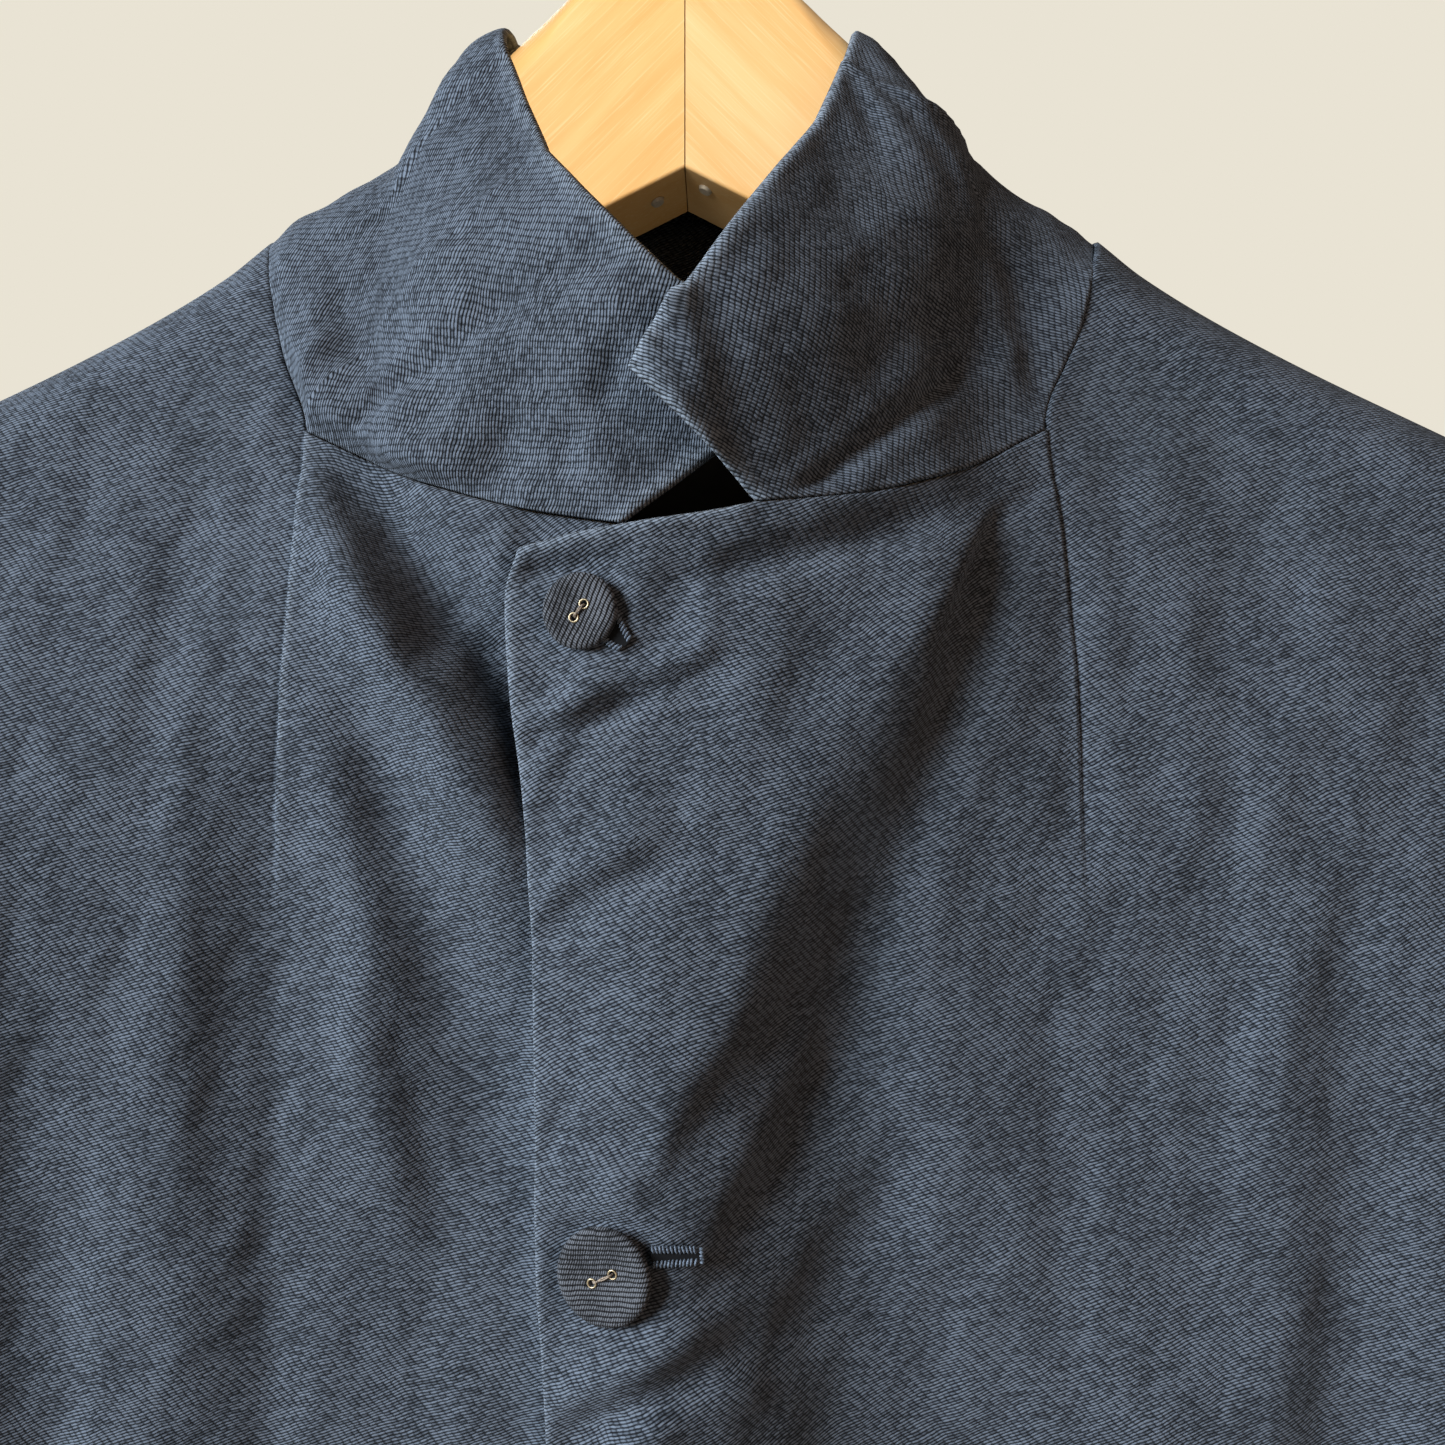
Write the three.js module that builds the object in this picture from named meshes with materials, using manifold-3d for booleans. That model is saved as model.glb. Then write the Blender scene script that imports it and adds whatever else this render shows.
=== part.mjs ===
// A linen jacket on a wooden hanger, in millimetres. +Z is up and the jacket's front faces -Y.
// Left and right are the wearer's, so the left side lies at +X.
// The origin is where a rod carries the hanger: the inside top of the hook's bend.
// Every cloth piece is a wall round a grid of middle points. The points lie on one hung shape,
// clothY, so pieces that are sewn together meet along the same points, a seam's gap apart.
import * as THREE from "three";
import { mergeVertices } from "three/addons/utils/BufferGeometryUtils.js";
import Module from "manifold-3d";

const wasm = await Module();
wasm.setup();

// ---- Driving sizes ----
const CLOTH = 1.6; // wall of every cloth piece
const SEAM_GAP = 0.3; // clear space between two pieces at a seam
const OVERLAP_LIFT = 3.8; // the left front and collar end lie this far outside the right ones
const OVERLAP_TO = { x: 54, fade: 38 };

const HEM_Z = -890;
const HEM_HALF = 253; // half width at the hem
const UNDERARM_Z = -435;
const UNDERARM_HALF = 247;
const ARM_REACH = 24; // from the hanger's middle plane to the cloth over its arms
const ROUND_OVER = 22; // drop over which the cloth turns from the top of an arm to its face
const SIDE_TURN = 55; // width over which a panel turns to the side seam
const FULLNESS = { front: 20, back: 12, drop: 150 }; // how much further out it hangs below the arms
const SWEEP = { out: 14, at: 220 }; // how far forward the shoulder line has come at a half width
// The front stands out at the neck, less so further down.
const NECK_BULGE = { out: 22, half: 66, from: 10, drop: 110, fadeTop: 260, fadeDrop: 200, keep: 0.3 };

// Top line of the garment over the hanger: half width x against height z.
const RIDGE = [
  { x: 0, z: -56 },
  { x: 48, z: -90 },
  { x: 61, z: -105 },
  { x: 71.5, z: -119.5 },
  { x: 77.5, z: -128.5 },
  { x: 86, z: -133.2 },
  { x: 96, z: -138.5 },
  { x: 107, z: -144.8 },
  { x: 115, z: -151 },
  { x: 127, z: -161 },
  { x: 158, z: -180.5 },
  { x: 234, z: -220 },
];

// Half width of the armhole and of the side seam, from the shoulder tip down to the hem.
const SIDE = [
  { z: -217, x: 232 },
  { z: -255, x: 225 },
  { z: -305, x: 219 },
  { z: -355, x: 220 },
  { z: -395, x: 229 },
  { z: -422, x: 241 },
  { z: UNDERARM_Z, x: UNDERARM_HALF },
  { z: -600, x: 249 },
  { z: HEM_Z, x: HEM_HALF },
];
const NECK_POINT = 115; // half width where the neckline crosses the shoulder

// Each front: its free edge, its free top edge up to the collar's end, and the line of its
// neck side and dart.
const FRONTS = {
  left: {
    side: 1,
    edge: [
      { z: -243, x: -41 },
      { z: -256, x: -44.5 },
      { z: -280, x: -43 },
      { z: -308, x: -40 },
      { z: -357, x: -37.5 },
      { z: -415, x: -37.5 },
      { z: -473, x: -35 },
      { z: HEM_Z, x: -22 },
    ],
    freeTop: [
      { x: -41, z: -243 },
      { x: -22, z: -239 },
      { x: 8, z: -234.5 },
      { x: 18.6, z: -232.4 },
    ],
    line: [
      { z: -151, x: NECK_POINT },
      { z: -161, x: 111.5 },
      { z: -182, x: 106 },
      { z: -209.5, x: 96 },
      { z: -237, x: 99.5 },
      { z: -300, x: 103 },
      { z: HEM_Z, x: 112 },
    ],
  },
  right: {
    side: -1,
    edge: [
      { z: -246, x: 50 },
      { z: HEM_Z, x: 62 },
    ],
    freeTop: [
      { x: -14.5, z: -237.5 },
      { x: 8, z: -240.5 },
      { x: 50, z: -246 },
    ],
    line: [
      { z: -151, x: -NECK_POINT },
      { z: -172, x: -111 },
      { z: -189, x: -107 },
      { z: -209.5, x: -100.5 },
      { z: -255, x: -102.5 },
      { z: -320, x: -106 },
      { z: HEM_Z, x: -112 },
    ],
  },
};

// Collar stations from each end to the neckline's corner: a seam point and a free-edge point.
const COLLAR_ENDS = {
  left: [
    { seamX: 18.6, seamZ: -232.4, edgeX: -12, edgeZ: -202 },
    { seamX: 44, seamZ: -229.5, edgeX: 1.5, edgeZ: -181 },
    { seamX: 70, seamZ: -222.5, edgeX: 14, edgeZ: -161 },
    { seamX: 96, seamZ: -209.5, edgeX: 30, edgeZ: -137.5 },
  ],
  right: [
    { seamX: -14.5, seamZ: -237.5, edgeX: 26, edgeZ: -208 },
    { seamX: -38, seamZ: -233.5, edgeX: 8, edgeZ: -186.5 },
    { seamX: -66, seamZ: -225.5, edgeX: -10, edgeZ: -168.5 },
    { seamX: -100.5, seamZ: -209.5, edgeX: -31, edgeZ: -143 },
  ],
};
// From there the free edge climbs to the ridge, at its peak.
const COLLAR_CLIMB = {
  left: [
    { z: -137.5, x: 30 },
    { z: -108, x: 43.5 },
    { z: -90, x: 48 },
  ],
  right: [
    { z: -143, x: -31 },
    { z: -118, x: -42 },
    { z: -108, x: -46 },
    { z: -90, x: -49 },
  ],
};
const PEAK_DROP = 0.86; // share of the round-over's drop that the free edge takes
const COLLAR_BACK = [
  { seamX: 110.5, seamZ: -152.6, edgeX: 47, edgeZ: -94 },
  { seamX: 104, seamZ: -154.4, edgeX: 44, edgeZ: -98 },
  { seamX: 92, seamZ: -151.5, edgeX: 38, edgeZ: -100 },
  { seamX: 68, seamZ: -142.5, edgeX: 28, edgeZ: -99 },
  { seamX: 36, seamZ: -134.5, edgeX: 15, edgeZ: -97 },
  { seamX: 0, seamZ: -132, edgeX: 0, edgeZ: -96 },
];
const COLLAR_ACROSS = 5; // cells from the seam to the free edge
const COLLAR_STAND = 2; // how far the middle of the collar bows out, away from its ends
const CORNER_FLIP = 2.5; // how far the left end's free corner lifts

// Main folds. A roll has a crest on one side of its line and a trough on the other. Widths w
// are at the fold's two ends, depth is how far it sinks and bow is how far its line curves.
const FRONT_FOLDS = [
  { on: "both", kind: "roll", x0: 90, z0: -208, x1: 3, z1: -416, w0: 12, w1: 21, depth: 4, bow: 0 },
  { on: "both", kind: "roll", x0: 14, z0: -300, x1: 36, z1: -640, w0: 20, w1: 27, depth: 5, bow: 0 },
  { on: "both", kind: "roll", x0: 34, z0: -540, x1: 22, z1: -1100, w0: 24, w1: 32, depth: 6, bow: 0 },
  { on: "both", kind: "trough", x0: 100, z0: -214, x1: 104, z1: -345, w0: 5, w1: 9, depth: 1.5, bow: 0 },
  { on: "right", kind: "trough", x0: -98, z0: -220, x1: -38, z1: -330, w0: 8, w1: 14, depth: 9, bow: 8 },
  { on: "right", kind: "trough", x0: -94, z0: -255, x1: -58, z1: -400, w0: 8, w1: 12, depth: 4, bow: 4 },
  { on: "right", kind: "trough", x0: -102, z0: -214, x1: -108, z1: -330, w0: 5, w1: 8, depth: 2, bow: 0 },
  { on: "both", kind: "trough", x0: 84, z0: -430, x1: 92, z1: -1100, w0: 22, w1: 34, depth: 8, bow: 0 },
  { on: "both", kind: "trough", x0: -166, z0: -300, x1: -172, z1: -1100, w0: 14, w1: 30, depth: 9, bow: 0 },
  { on: "both", kind: "trough", x0: 170, z0: -340, x1: 176, z1: -1100, w0: 16, w1: 30, depth: 9, bow: 0 },
];
const BACK_FOLDS = [
  { kind: "trough", x0: -120, z0: -230, x1: -140, z1: -1100, w0: 16, w1: 32, depth: 9, bow: 0 },
  { kind: "trough", x0: -16, z0: -300, x1: -30, z1: -1100, w0: 18, w1: 34, depth: 10, bow: 0 },
  { kind: "trough", x0: 92, z0: -220, x1: 120, z1: -1100, w0: 14, w1: 32, depth: 9, bow: 0 },
];
const FOLD_ENDS = { in: 0.3, out: 0.35 }; // shares of its length over which a fold comes and goes

// Sleeve sections: its outer line (top), its underarm line (low), half depth and middle y.
const SLEEVE = [
  { topX: 253, topZ: -226, lowX: 256, lowZ: -446, depth: 38, y: -13 },
  { topX: 277, topZ: -247, lowX: 260, lowZ: -470, depth: 44, y: -14 },
  { topX: 299, topZ: -288, lowX: 263, lowZ: -500, depth: 48, y: -15 },
  { topX: 316, topZ: -350, lowX: 265, lowZ: -535, depth: 50, y: -17 },
  { topX: 328, topZ: -430, lowX: 266, lowZ: -575, depth: 50, y: -20 },
  { topX: 336, topZ: -520, lowX: 266, lowZ: -625, depth: 48, y: -24 },
  { topX: 340, topZ: -610, lowX: 265, lowZ: -680, depth: 46, y: -28 },
  { topX: 341, topZ: -700, lowX: 264, lowZ: -740, depth: 45, y: -32 },
  { topX: 340, topZ: -794, lowX: 262, lowZ: -801, depth: 44, y: -36 },
];

const BUTTONS = [
  { name: "button_neck", x: -24.3, z: -259.5, dia: 19.1 },
  { name: "button_chest", x: -19.6, z: -426, dia: 25.5 },
  { name: "button_waist", x: -13.4, z: -592, dia: 25.5 },
  { name: "button_hip", x: -7.6, z: -758, dia: 25.5 },
];
const BUTTON = { thick: 3.6, middle: 0.9, sides: 24, clear: 0.5 }; // middle is a share of thick
// A covered button's section: how far in from its rim, and the share of its thickness.
const BUTTON_SECTION = [
  { inset: 1.6, up: 0 },
  { inset: 0.3, up: 0.2 },
  { inset: 0, up: 0.5 },
  { inset: 0.7, up: 0.85 },
  { inset: 2.2, up: 1 },
  { inset: 5.5, up: 0.93 },
];

const LABEL = { x: 2, half: 42, top: -190, bottom: -238, thick: 0.8, clear: 0.7, columns: 4, rows: 2 };

// Hanger arm sections, out from the middle: top, bottom, half thickness and the height of the
// rounded top.
const ARM = [
  { x: SEAM_GAP / 2, top: -70, bottom: -133.5, half: 20, crown: 9 },
  { x: 14, top: -72.5, bottom: -140.5, half: 20, crown: 9 },
  { x: 28, top: -78.5, bottom: -147.5, half: 20, crown: 9 },
  { x: 42, top: -89.5, bottom: -153.5, half: 20, crown: 10 },
  { x: 60, top: -108, bottom: -160.5, half: 20, crown: 15 },
  { x: 71, top: -123, bottom: -165, half: 20, crown: 18 },
  { x: 80, top: -134.2, bottom: -168.5, half: 20, crown: 19 },
  { x: 100, top: -144.3, bottom: -178, half: 20, crown: 20 },
  { x: 117, top: -155.6, bottom: -187, half: 20, crown: 20 },
  { x: 130, top: -165.4, bottom: -193, half: 20, crown: 20 },
  { x: 158, top: -182.8, bottom: -207, half: 19, crown: 20 },
  { x: 200, top: -205, bottom: -226, half: 16.5, crown: 18 },
  { x: 213, top: -212.5, bottom: -229, half: 13, crown: 12 },
];
const ARM_FOOT = 2; // chamfer along the bottom edges
// The hook's bend runs between two angles, then leads into a straight shank.
const HOOK = { wire: 4.2, inside: 20, from: -35, to: 235, every: 15, shank: -53, foot: -67 };
const HOOK_LEAD = { x: -4.9, z: -44.3 };
const FERRULE = { foot: 13, head: 9.4, tall: 3 };

// ---- Small helpers ----
const lerp = (a, b, t) => a + (b - a) * t;
const clamp01 = (t) => Math.min(1, Math.max(0, t));
const smooth = (t) => clamp01(t) ** 2 * (3 - 2 * clamp01(t));
const steps = (count) => Array.from({ length: count + 1 }, (_, i) => i / count);
const at = (x, y, z) => new THREE.Vector3(x, y, z);

// Column `out` where column `by` has a value, on a smooth curve through the table's rows.
function read(table, by, out, value) {
  const rows = table[0][by] < table[table.length - 1][by] ? table : [...table].reverse();
  const last = rows.length - 1;
  const v = Math.min(Math.max(value, rows[0][by]), rows[last][by]);
  let i = 0;
  while (i < last - 1 && v > rows[i + 1][by]) i += 1;
  const slope = (k) => (rows[k + 1][out] - rows[k][out]) / (rows[k + 1][by] - rows[k][by]);
  const tangent = (k) => {
    const before = slope(Math.max(k - 1, 0));
    const after = slope(Math.min(k, last - 1));
    return before * after > 0 ? (2 * before * after) / (before + after) : 0; // never overshoots
  };
  const span = rows[i + 1][by] - rows[i][by];
  const t = (v - rows[i][by]) / span;
  const ease = t * t * (3 - 2 * t);
  const swing = tangent(i) * (1 - t) - tangent(i + 1) * t;
  return lerp(rows[i][out], rows[i + 1][out], ease) + swing * span * t * (1 - t);
}

// Column `out` at a row position between two rows, such as 1.5.
const readAt = (table, out, position) =>
  read(table.map((row, i) => ({ value: row[out], i })), "i", "value", position);

// ---- The hung shape ----
const ridgeZ = (x) => read(RIDGE, "x", "z", Math.abs(x));
const quarterRound = (t) => Math.sqrt(1 - (1 - clamp01(t)) ** 2);

function foldOut(fold, x, z) {
  const dx = fold.x1 - fold.x0;
  const dz = fold.z1 - fold.z0;
  const length = Math.hypot(dx, dz);
  const t = ((x - fold.x0) * dx + (z - fold.z0) * dz) / length ** 2;
  if (t <= 0 || t >= 1) return 0;
  const bowed = fold.bow * Math.sin(Math.PI * t);
  const across = ((z - fold.z0) * dx - (x - fold.x0) * dz) / length - bowed;
  const s = across / lerp(fold.w0, fold.w1, t);
  const depth = fold.depth * smooth(t / FOLD_ENDS.in) * smooth((1 - t) / FOLD_ENDS.out);
  return fold.kind === "roll" ? -depth * s * Math.exp((1 - s * s) / 2) : -depth * Math.exp(-s * s);
}

// The middle of the cloth at (x, z), on the front or the back of the garment. which is the
// wearer's side of a front piece.
function clothY(x, z, face, which) {
  const half = Math.abs(x);
  const below = Math.max(0, ridgeZ(x) - z);
  const down = clamp01((z - UNDERARM_Z) / (HEM_Z - UNDERARM_Z));
  const limit = lerp(UNDERARM_HALF, HEM_HALF, down);
  const turned = quarterRound(below / ROUND_OVER) * quarterRound((limit - half) / SIDE_TURN);
  let reach = ARM_REACH + FULLNESS[face] * smooth(below / FULLNESS.drop);
  if (face === "front") {
    const inward = Math.exp(-((x / NECK_BULGE.half) ** 2));
    const neck = inward * smooth((below - NECK_BULGE.from) / NECK_BULGE.drop);
    const lower = smooth((-z - NECK_BULGE.fadeTop) / NECK_BULGE.fadeDrop);
    reach += NECK_BULGE.out * neck * lerp(1, NECK_BULGE.keep, lower);
    for (const fold of FRONT_FOLDS) if (fold.on === "both" || fold.on === which) reach += foldOut(fold, x, z);
    if (which === "left") reach += OVERLAP_LIFT * (1 - smooth((x - OVERLAP_TO.x) / OVERLAP_TO.fade));
  } else {
    for (const fold of BACK_FOLDS) reach += foldOut(fold, x, z);
  }
  const forward = -SWEEP.out * (half / SWEEP.at) ** 2;
  return forward + (face === "front" ? -reach : reach) * turned;
}

// ---- Walls round a grid ----
function signedVolume(geometry) {
  const place = geometry.getAttribute("position");
  const corner = (k) => at(0, 0, 0).fromBufferAttribute(place, geometry.index.getX(k));
  let volume = 0;
  for (let k = 0; k < geometry.index.count; k += 3)
    volume += corner(k).dot(corner(k + 1).cross(corner(k + 2))) / 6;
  return volume;
}

// rows[r][c] is a middle point, or null in a notch, and outs[r][c] its way out. Where round is
// true the last column joins the first.
function wall(rows, outs, thick, round = false) {
  const points = [];
  const faces = [];
  const index = rows.map((row, r) =>
    row.map((p, c) => {
      if (!p) return null;
      points.push(p.clone().addScaledVector(outs[r][c], thick / 2));
      points.push(p.clone().addScaledVector(outs[r][c], -thick / 2));
      return points.length / 2 - 1;
    }),
  );
  const quad = (a, b, c, d) => faces.push([a, b, c], [a, c, d]);
  const borders = new Map();
  const count = rows[0].length;
  for (let r = 0; r + 1 < rows.length; r += 1)
    for (let c = 0; c < (round ? count : count - 1); c += 1) {
      const next = (c + 1) % count;
      const ring = [index[r][c], index[r + 1][c], index[r + 1][next], index[r][next]];
      if (ring.includes(null)) continue;
      quad(...ring.map((i) => 2 * i));
      quad(...ring.map((i) => 2 * i + 1).reverse());
      ring.forEach((i, k) => {
        const j = ring[(k + 1) % ring.length];
        if (!borders.delete(j + " " + i)) borders.set(i + " " + j, [i, j]);
      });
    }
  for (const [i, j] of borders.values()) quad(2 * i, 2 * i + 1, 2 * j + 1, 2 * j);
  const geometry = new THREE.BufferGeometry();
  const flat = points.flatMap((p) => p.toArray());
  geometry.setAttribute("position", new THREE.Float32BufferAttribute(flat, 3));
  geometry.setIndex(faces.flat());
  if (signedVolume(geometry) < 0) geometry.setIndex(faces.map((f) => [...f].reverse()).flat());
  return geometry;
}

// The way out at each point of a grid, square to its neighbours. roughly(p, r, c) says which
// side is out.
function waysOut(rows, roughly, round = false) {
  const count = rows[0].length;
  const find = (r, c) => (rows[r] ? rows[r][round ? (c + count) % count : c] || null : null);
  const step = (from, to, here) => (to || here).clone().sub(from || here);
  return rows.map((row, r) =>
    row.map((p, c) => {
      if (!p) return null;
      const along = step(find(r, c - 1), find(r, c + 1), p);
      const down = step(find(r - 1, c), find(r + 1, c), p);
      const out = along.cross(down).normalize();
      return out.dot(roughly(p, r, c)) < 0 ? out.negate() : out;
    }),
  );
}

// ---- Rows and columns of the body ----
const TURN_STEPS = 3;
const turnDrop = (step) => ROUND_OVER * (1 - Math.cos((step / TURN_STEPS) * (Math.PI / 2)));
// Stretches of rows below the round-over, and the height where each ends on the front's dart
// line, on the side and in the middle of the back.
const STRETCHES = [
  { rows: 3, line: -209.5, side: -290, back: -225 },
  { rows: 8, line: -365, side: UNDERARM_Z, back: -375 },
  { rows: 10, line: HEM_Z, side: HEM_Z, back: HEM_Z },
];
const CORNER_ROW = TURN_STEPS + STRETCHES[0].rows;
const UNDERARM_ROW = CORNER_ROW + STRETCHES[1].rows;
const FREE_COLUMNS = 3; // from the front edge to the collar's end
const SEAM_COLUMNS = 6; // from the collar's end to the dart
const FLAT_COLUMNS = 4; // from the dart to where the side turns
const SIDE_COLUMNS = 4; // round the side
const PANEL_WIDE = 140; // from the dart to the side, about
const NECKLINE_FADE = 0.15; // share of the way to the hem over which rows straighten
// Roughly which way is out on each face, where the cloth also lies over the arms.
const OUTWARD = { front: at(0, -1, 0.3), back: at(0, 1, 0.3) };

function rowHeights(top, column) {
  const heights = steps(TURN_STEPS).map((t) => top - turnDrop(t * TURN_STEPS));
  for (const stretch of STRETCHES) {
    const from = heights[heights.length - 1];
    for (const t of steps(stretch.rows).slice(1)) heights.push(lerp(from, stretch[column], t));
  }
  return heights;
}
const TIP = { x: SIDE[0].x, z: ridgeZ(SIDE[0].x) };
const SIDE_HEIGHTS = rowHeights(TIP.z, "side");

// Shares of the way from the neck point (0) to the side (1), closer where the cloth turns.
const TURN_SHARE = SIDE_TURN / PANEL_WIDE;
const SHOULDER_SHARES = [
  ...steps(FLAT_COLUMNS).map((t) => t * (1 - TURN_SHARE)),
  ...steps(SIDE_COLUMNS).slice(1).map((t) => 1 - TURN_SHARE * (1 - Math.sin((t * Math.PI) / 2))),
];

// One row of a panel's shoulder part, from its line to its side.
function shoulderRow(r, line, lineTop, side) {
  const sideZ = SIDE_HEIGHTS[r];
  const sideX = read(SIDE, "z", "x", sideZ);
  const fade = 1 - smooth((r - TURN_STEPS) / STRETCHES[0].rows);
  return SHOULDER_SHARES.map((share) => {
    const ridge = ridgeZ(lerp(NECK_POINT, TIP.x, share)) - lerp(lineTop, TIP.z, share);
    return { x: lerp(line.x, side * sideX, share), z: lerp(line.z, sideZ, share) + ridge * fade };
  });
}

// The way out of the armhole's rim: away from its middle, in the plane across the body.
const ARMHOLE = { y: -12, z: (TIP.z + UNDERARM_Z) / 2, flatness: 4 };
const rimOut = (p) => at(0, (p.y - ARMHOLE.y) * ARMHOLE.flatness, p.z - ARMHOLE.z).normalize();

// Where the front meets the back, both walls end square to the middle plane, half a gap short.
function finishPanel(rows, face, sideColumns) {
  const outs = waysOut(rows, () => OUTWARD[face]);
  const short = (face === "front" ? -SEAM_GAP : SEAM_GAP) / 2;
  rows.forEach((row, r) =>
    row.forEach((p, c) => {
      if (!p) return;
      const side = sideColumns.includes(c);
      const shoulder = r === 0 && Math.abs(p.x) > NECK_POINT - 1;
      if (shoulder || (side && r >= UNDERARM_ROW)) {
        outs[r][c].setY(0).normalize();
        p.y += short;
      }
      if (side && r <= UNDERARM_ROW) outs[r][c].copy(rimOut(p));
    }),
  );
  return { rows, outs };
}

// ---- Pieces of cloth ----
function frontPanel(which) {
  const { side, edge, freeTop, line } = FRONTS[which];
  const stations = COLLAR_ENDS[which];
  const corner = STRETCHES[0].line;
  const lineHeights = rowHeights(ridgeZ(NECK_POINT), "line");
  const edgeTop = edge[0];
  const collarEnd = stations[0];
  const top = steps(FREE_COLUMNS).map((t) => {
    const x = lerp(edgeTop.x, collarEnd.seamX, t);
    return { x, z: read(freeTop, "x", "z", x) };
  });
  for (const t of steps(SEAM_COLUMNS).slice(1)) {
    const position = t * (stations.length - 1);
    top.push({ x: readAt(stations, "seamX", position), z: readAt(stations, "seamZ", position) });
  }
  const cornerColumn = top.length - 1;
  const shares = top.map((p) => (p.x - edgeTop.x) / (top[cornerColumn].x - edgeTop.x));
  const rows = lineHeights.map((lineZ, r) => {
    const lineAt = { x: read(line, "z", "x", lineZ), z: lineZ };
    const down = (lineZ - corner) / (HEM_Z - corner);
    const edgeZ = lerp(edgeTop.z, HEM_Z, down);
    const edgeX = read(edge, "z", "x", edgeZ);
    const inner = top.slice(0, cornerColumn).map((p, c) => {
      if (r < CORNER_ROW) return null;
      const neckline = p.z - lerp(edgeTop.z, corner, shares[c]);
      return {
        x: lerp(edgeX, lineAt.x, shares[c]),
        z: lerp(edgeZ, lineZ, shares[c]) + neckline * (1 - smooth(down / NECKLINE_FADE)),
      };
    });
    const row = [...inner, ...shoulderRow(r, lineAt, lineHeights[0], side)];
    return row.map((p) => p && at(p.x, clothY(p.x, p.z, "front", which), p.z));
  });
  return { ...finishPanel(rows, "front", [rows[0].length - 1]), cornerColumn };
}

function backPanel() {
  const neckHeights = COLLAR_BACK.map((station) => rowHeights(station.seamZ, "back"));
  const lineHeights = rowHeights(ridgeZ(NECK_POINT), "back");
  const rows = lineHeights.map((lineZ, r) => {
    const shoulder = shoulderRow(r, { x: NECK_POINT, z: lineZ }, lineHeights[0], 1);
    const neck = COLLAR_BACK.map((station, i) => ({ x: station.seamX, z: neckHeights[i][r] }));
    const half = [...shoulder.reverse(), ...neck];
    const other = half.slice(0, -1).map((p) => ({ x: -p.x, z: p.z }));
    return [...half, ...other.reverse()].map((p) => at(p.x, clothY(p.x, p.z, "back"), p.z));
  });
  return finishPanel(rows, "back", [0, rows[0].length - 1]);
}

function sleeve(side) {
  const rimPoint = (z, face) => {
    const x = read(SIDE, "z", "x", z);
    return at(x, clothY(x, z, face), z);
  };
  const down = SIDE_HEIGHTS.slice(0, UNDERARM_ROW + 1);
  const rim = [
    ...down.map((z) => rimPoint(z, "front")),
    ...down.slice(1, -1).reverse().map((z) => rimPoint(z, "back")),
  ];
  const turns = rim.map((p, i) => {
    const cosine = clamp01((p.z - UNDERARM_Z) / (TIP.z - UNDERARM_Z)) * 2 - 1;
    return Math.acos(cosine) * (i < down.length ? 1 : -1);
  });
  const rings = SLEEVE.map((s) =>
    turns.map((turn) => {
      const high = (1 + Math.cos(turn)) / 2;
      return at(lerp(s.lowX, s.topX, high), s.y - s.depth * Math.sin(turn), lerp(s.lowZ, s.topZ, high));
    }),
  );
  const rows = [rim, ...rings];
  const middle = (ring) => ring.reduce((sum, p) => sum.add(p), at(0, 0, 0)).divideScalar(ring.length);
  const middles = rows.map(middle);
  const outs = waysOut(rows, (p, r) => p.clone().sub(middles[r]), true);
  rim.forEach((p, i) => {
    outs[0][i] = rimOut(p);
    p.x += SEAM_GAP;
  });
  const turnOver = (v) => v.setX(v.x * side);
  rows.flat().forEach(turnOver);
  outs.flat().forEach(turnOver);
  return wall(rows, outs, CLOTH, true);
}

// The collar's columns run from the left end round the back to the right end. Each has its
// seam point and way out, taken from the panel that it is sewn to, and its free-edge point.
function collarColumns(panels) {
  const fronts = ["left", "right"].map((which) => {
    const { rows, outs, cornerColumn } = panels[which];
    const climb = COLLAR_CLIMB[which];
    const peakZ = climb[climb.length - 1].z;
    const columns = steps(SEAM_COLUMNS).map((t, k) => {
      const c = cornerColumn - SEAM_COLUMNS + k;
      const position = t * (COLLAR_ENDS[which].length - 1);
      const edge = {
        x: readAt(COLLAR_ENDS[which], "edgeX", position),
        z: readAt(COLLAR_ENDS[which], "edgeZ", position),
      };
      const seam = { p: rows[CORNER_ROW][c], out: outs[CORNER_ROW][c] };
      return { seam, edge, face: "front", which, standing: smooth(t), end: 1 - t, onRidge: 0 };
    });
    for (let r = CORNER_ROW - 1; r >= 0; r -= 1) {
      const foot = peakZ - PEAK_DROP * ROUND_OVER;
      const z =
        r <= TURN_STEPS
          ? peakZ - PEAK_DROP * turnDrop(r)
          : lerp(foot, climb[0].z, (r - TURN_STEPS) / STRETCHES[0].rows);
      const edge = { x: read(climb, "z", "x", z), z };
      const seam = { p: rows[r][cornerColumn], out: outs[r][cornerColumn] };
      const onRidge = 1 - smooth((r - 1) / (CORNER_ROW - 1));
      columns.push({ seam, edge, face: "front", which, standing: r / CORNER_ROW, end: 0, onRidge });
    }
    return columns;
  });
  const backRow = panels.back.rows[0];
  const firstNeck = SHOULDER_SHARES.length;
  const back = [];
  for (let c = firstNeck; c < backRow.length - firstNeck; c += 1) {
    const place = c - firstNeck;
    const i = Math.min(place, 2 * (COLLAR_BACK.length - 1) - place);
    const station = COLLAR_BACK[i];
    const x = Math.sign(backRow[c].x) * station.edgeX;
    const onRidge = 1 - smooth(i / (COLLAR_BACK.length - 2));
    const seam = { p: backRow[c], out: panels.back.outs[0][c] };
    back.push({ seam, edge: { x, z: station.edgeZ }, face: "back", standing: 0, end: 0, onRidge });
  }
  return [...fronts[0], ...back, ...fronts[1].reverse()];
}

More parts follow.
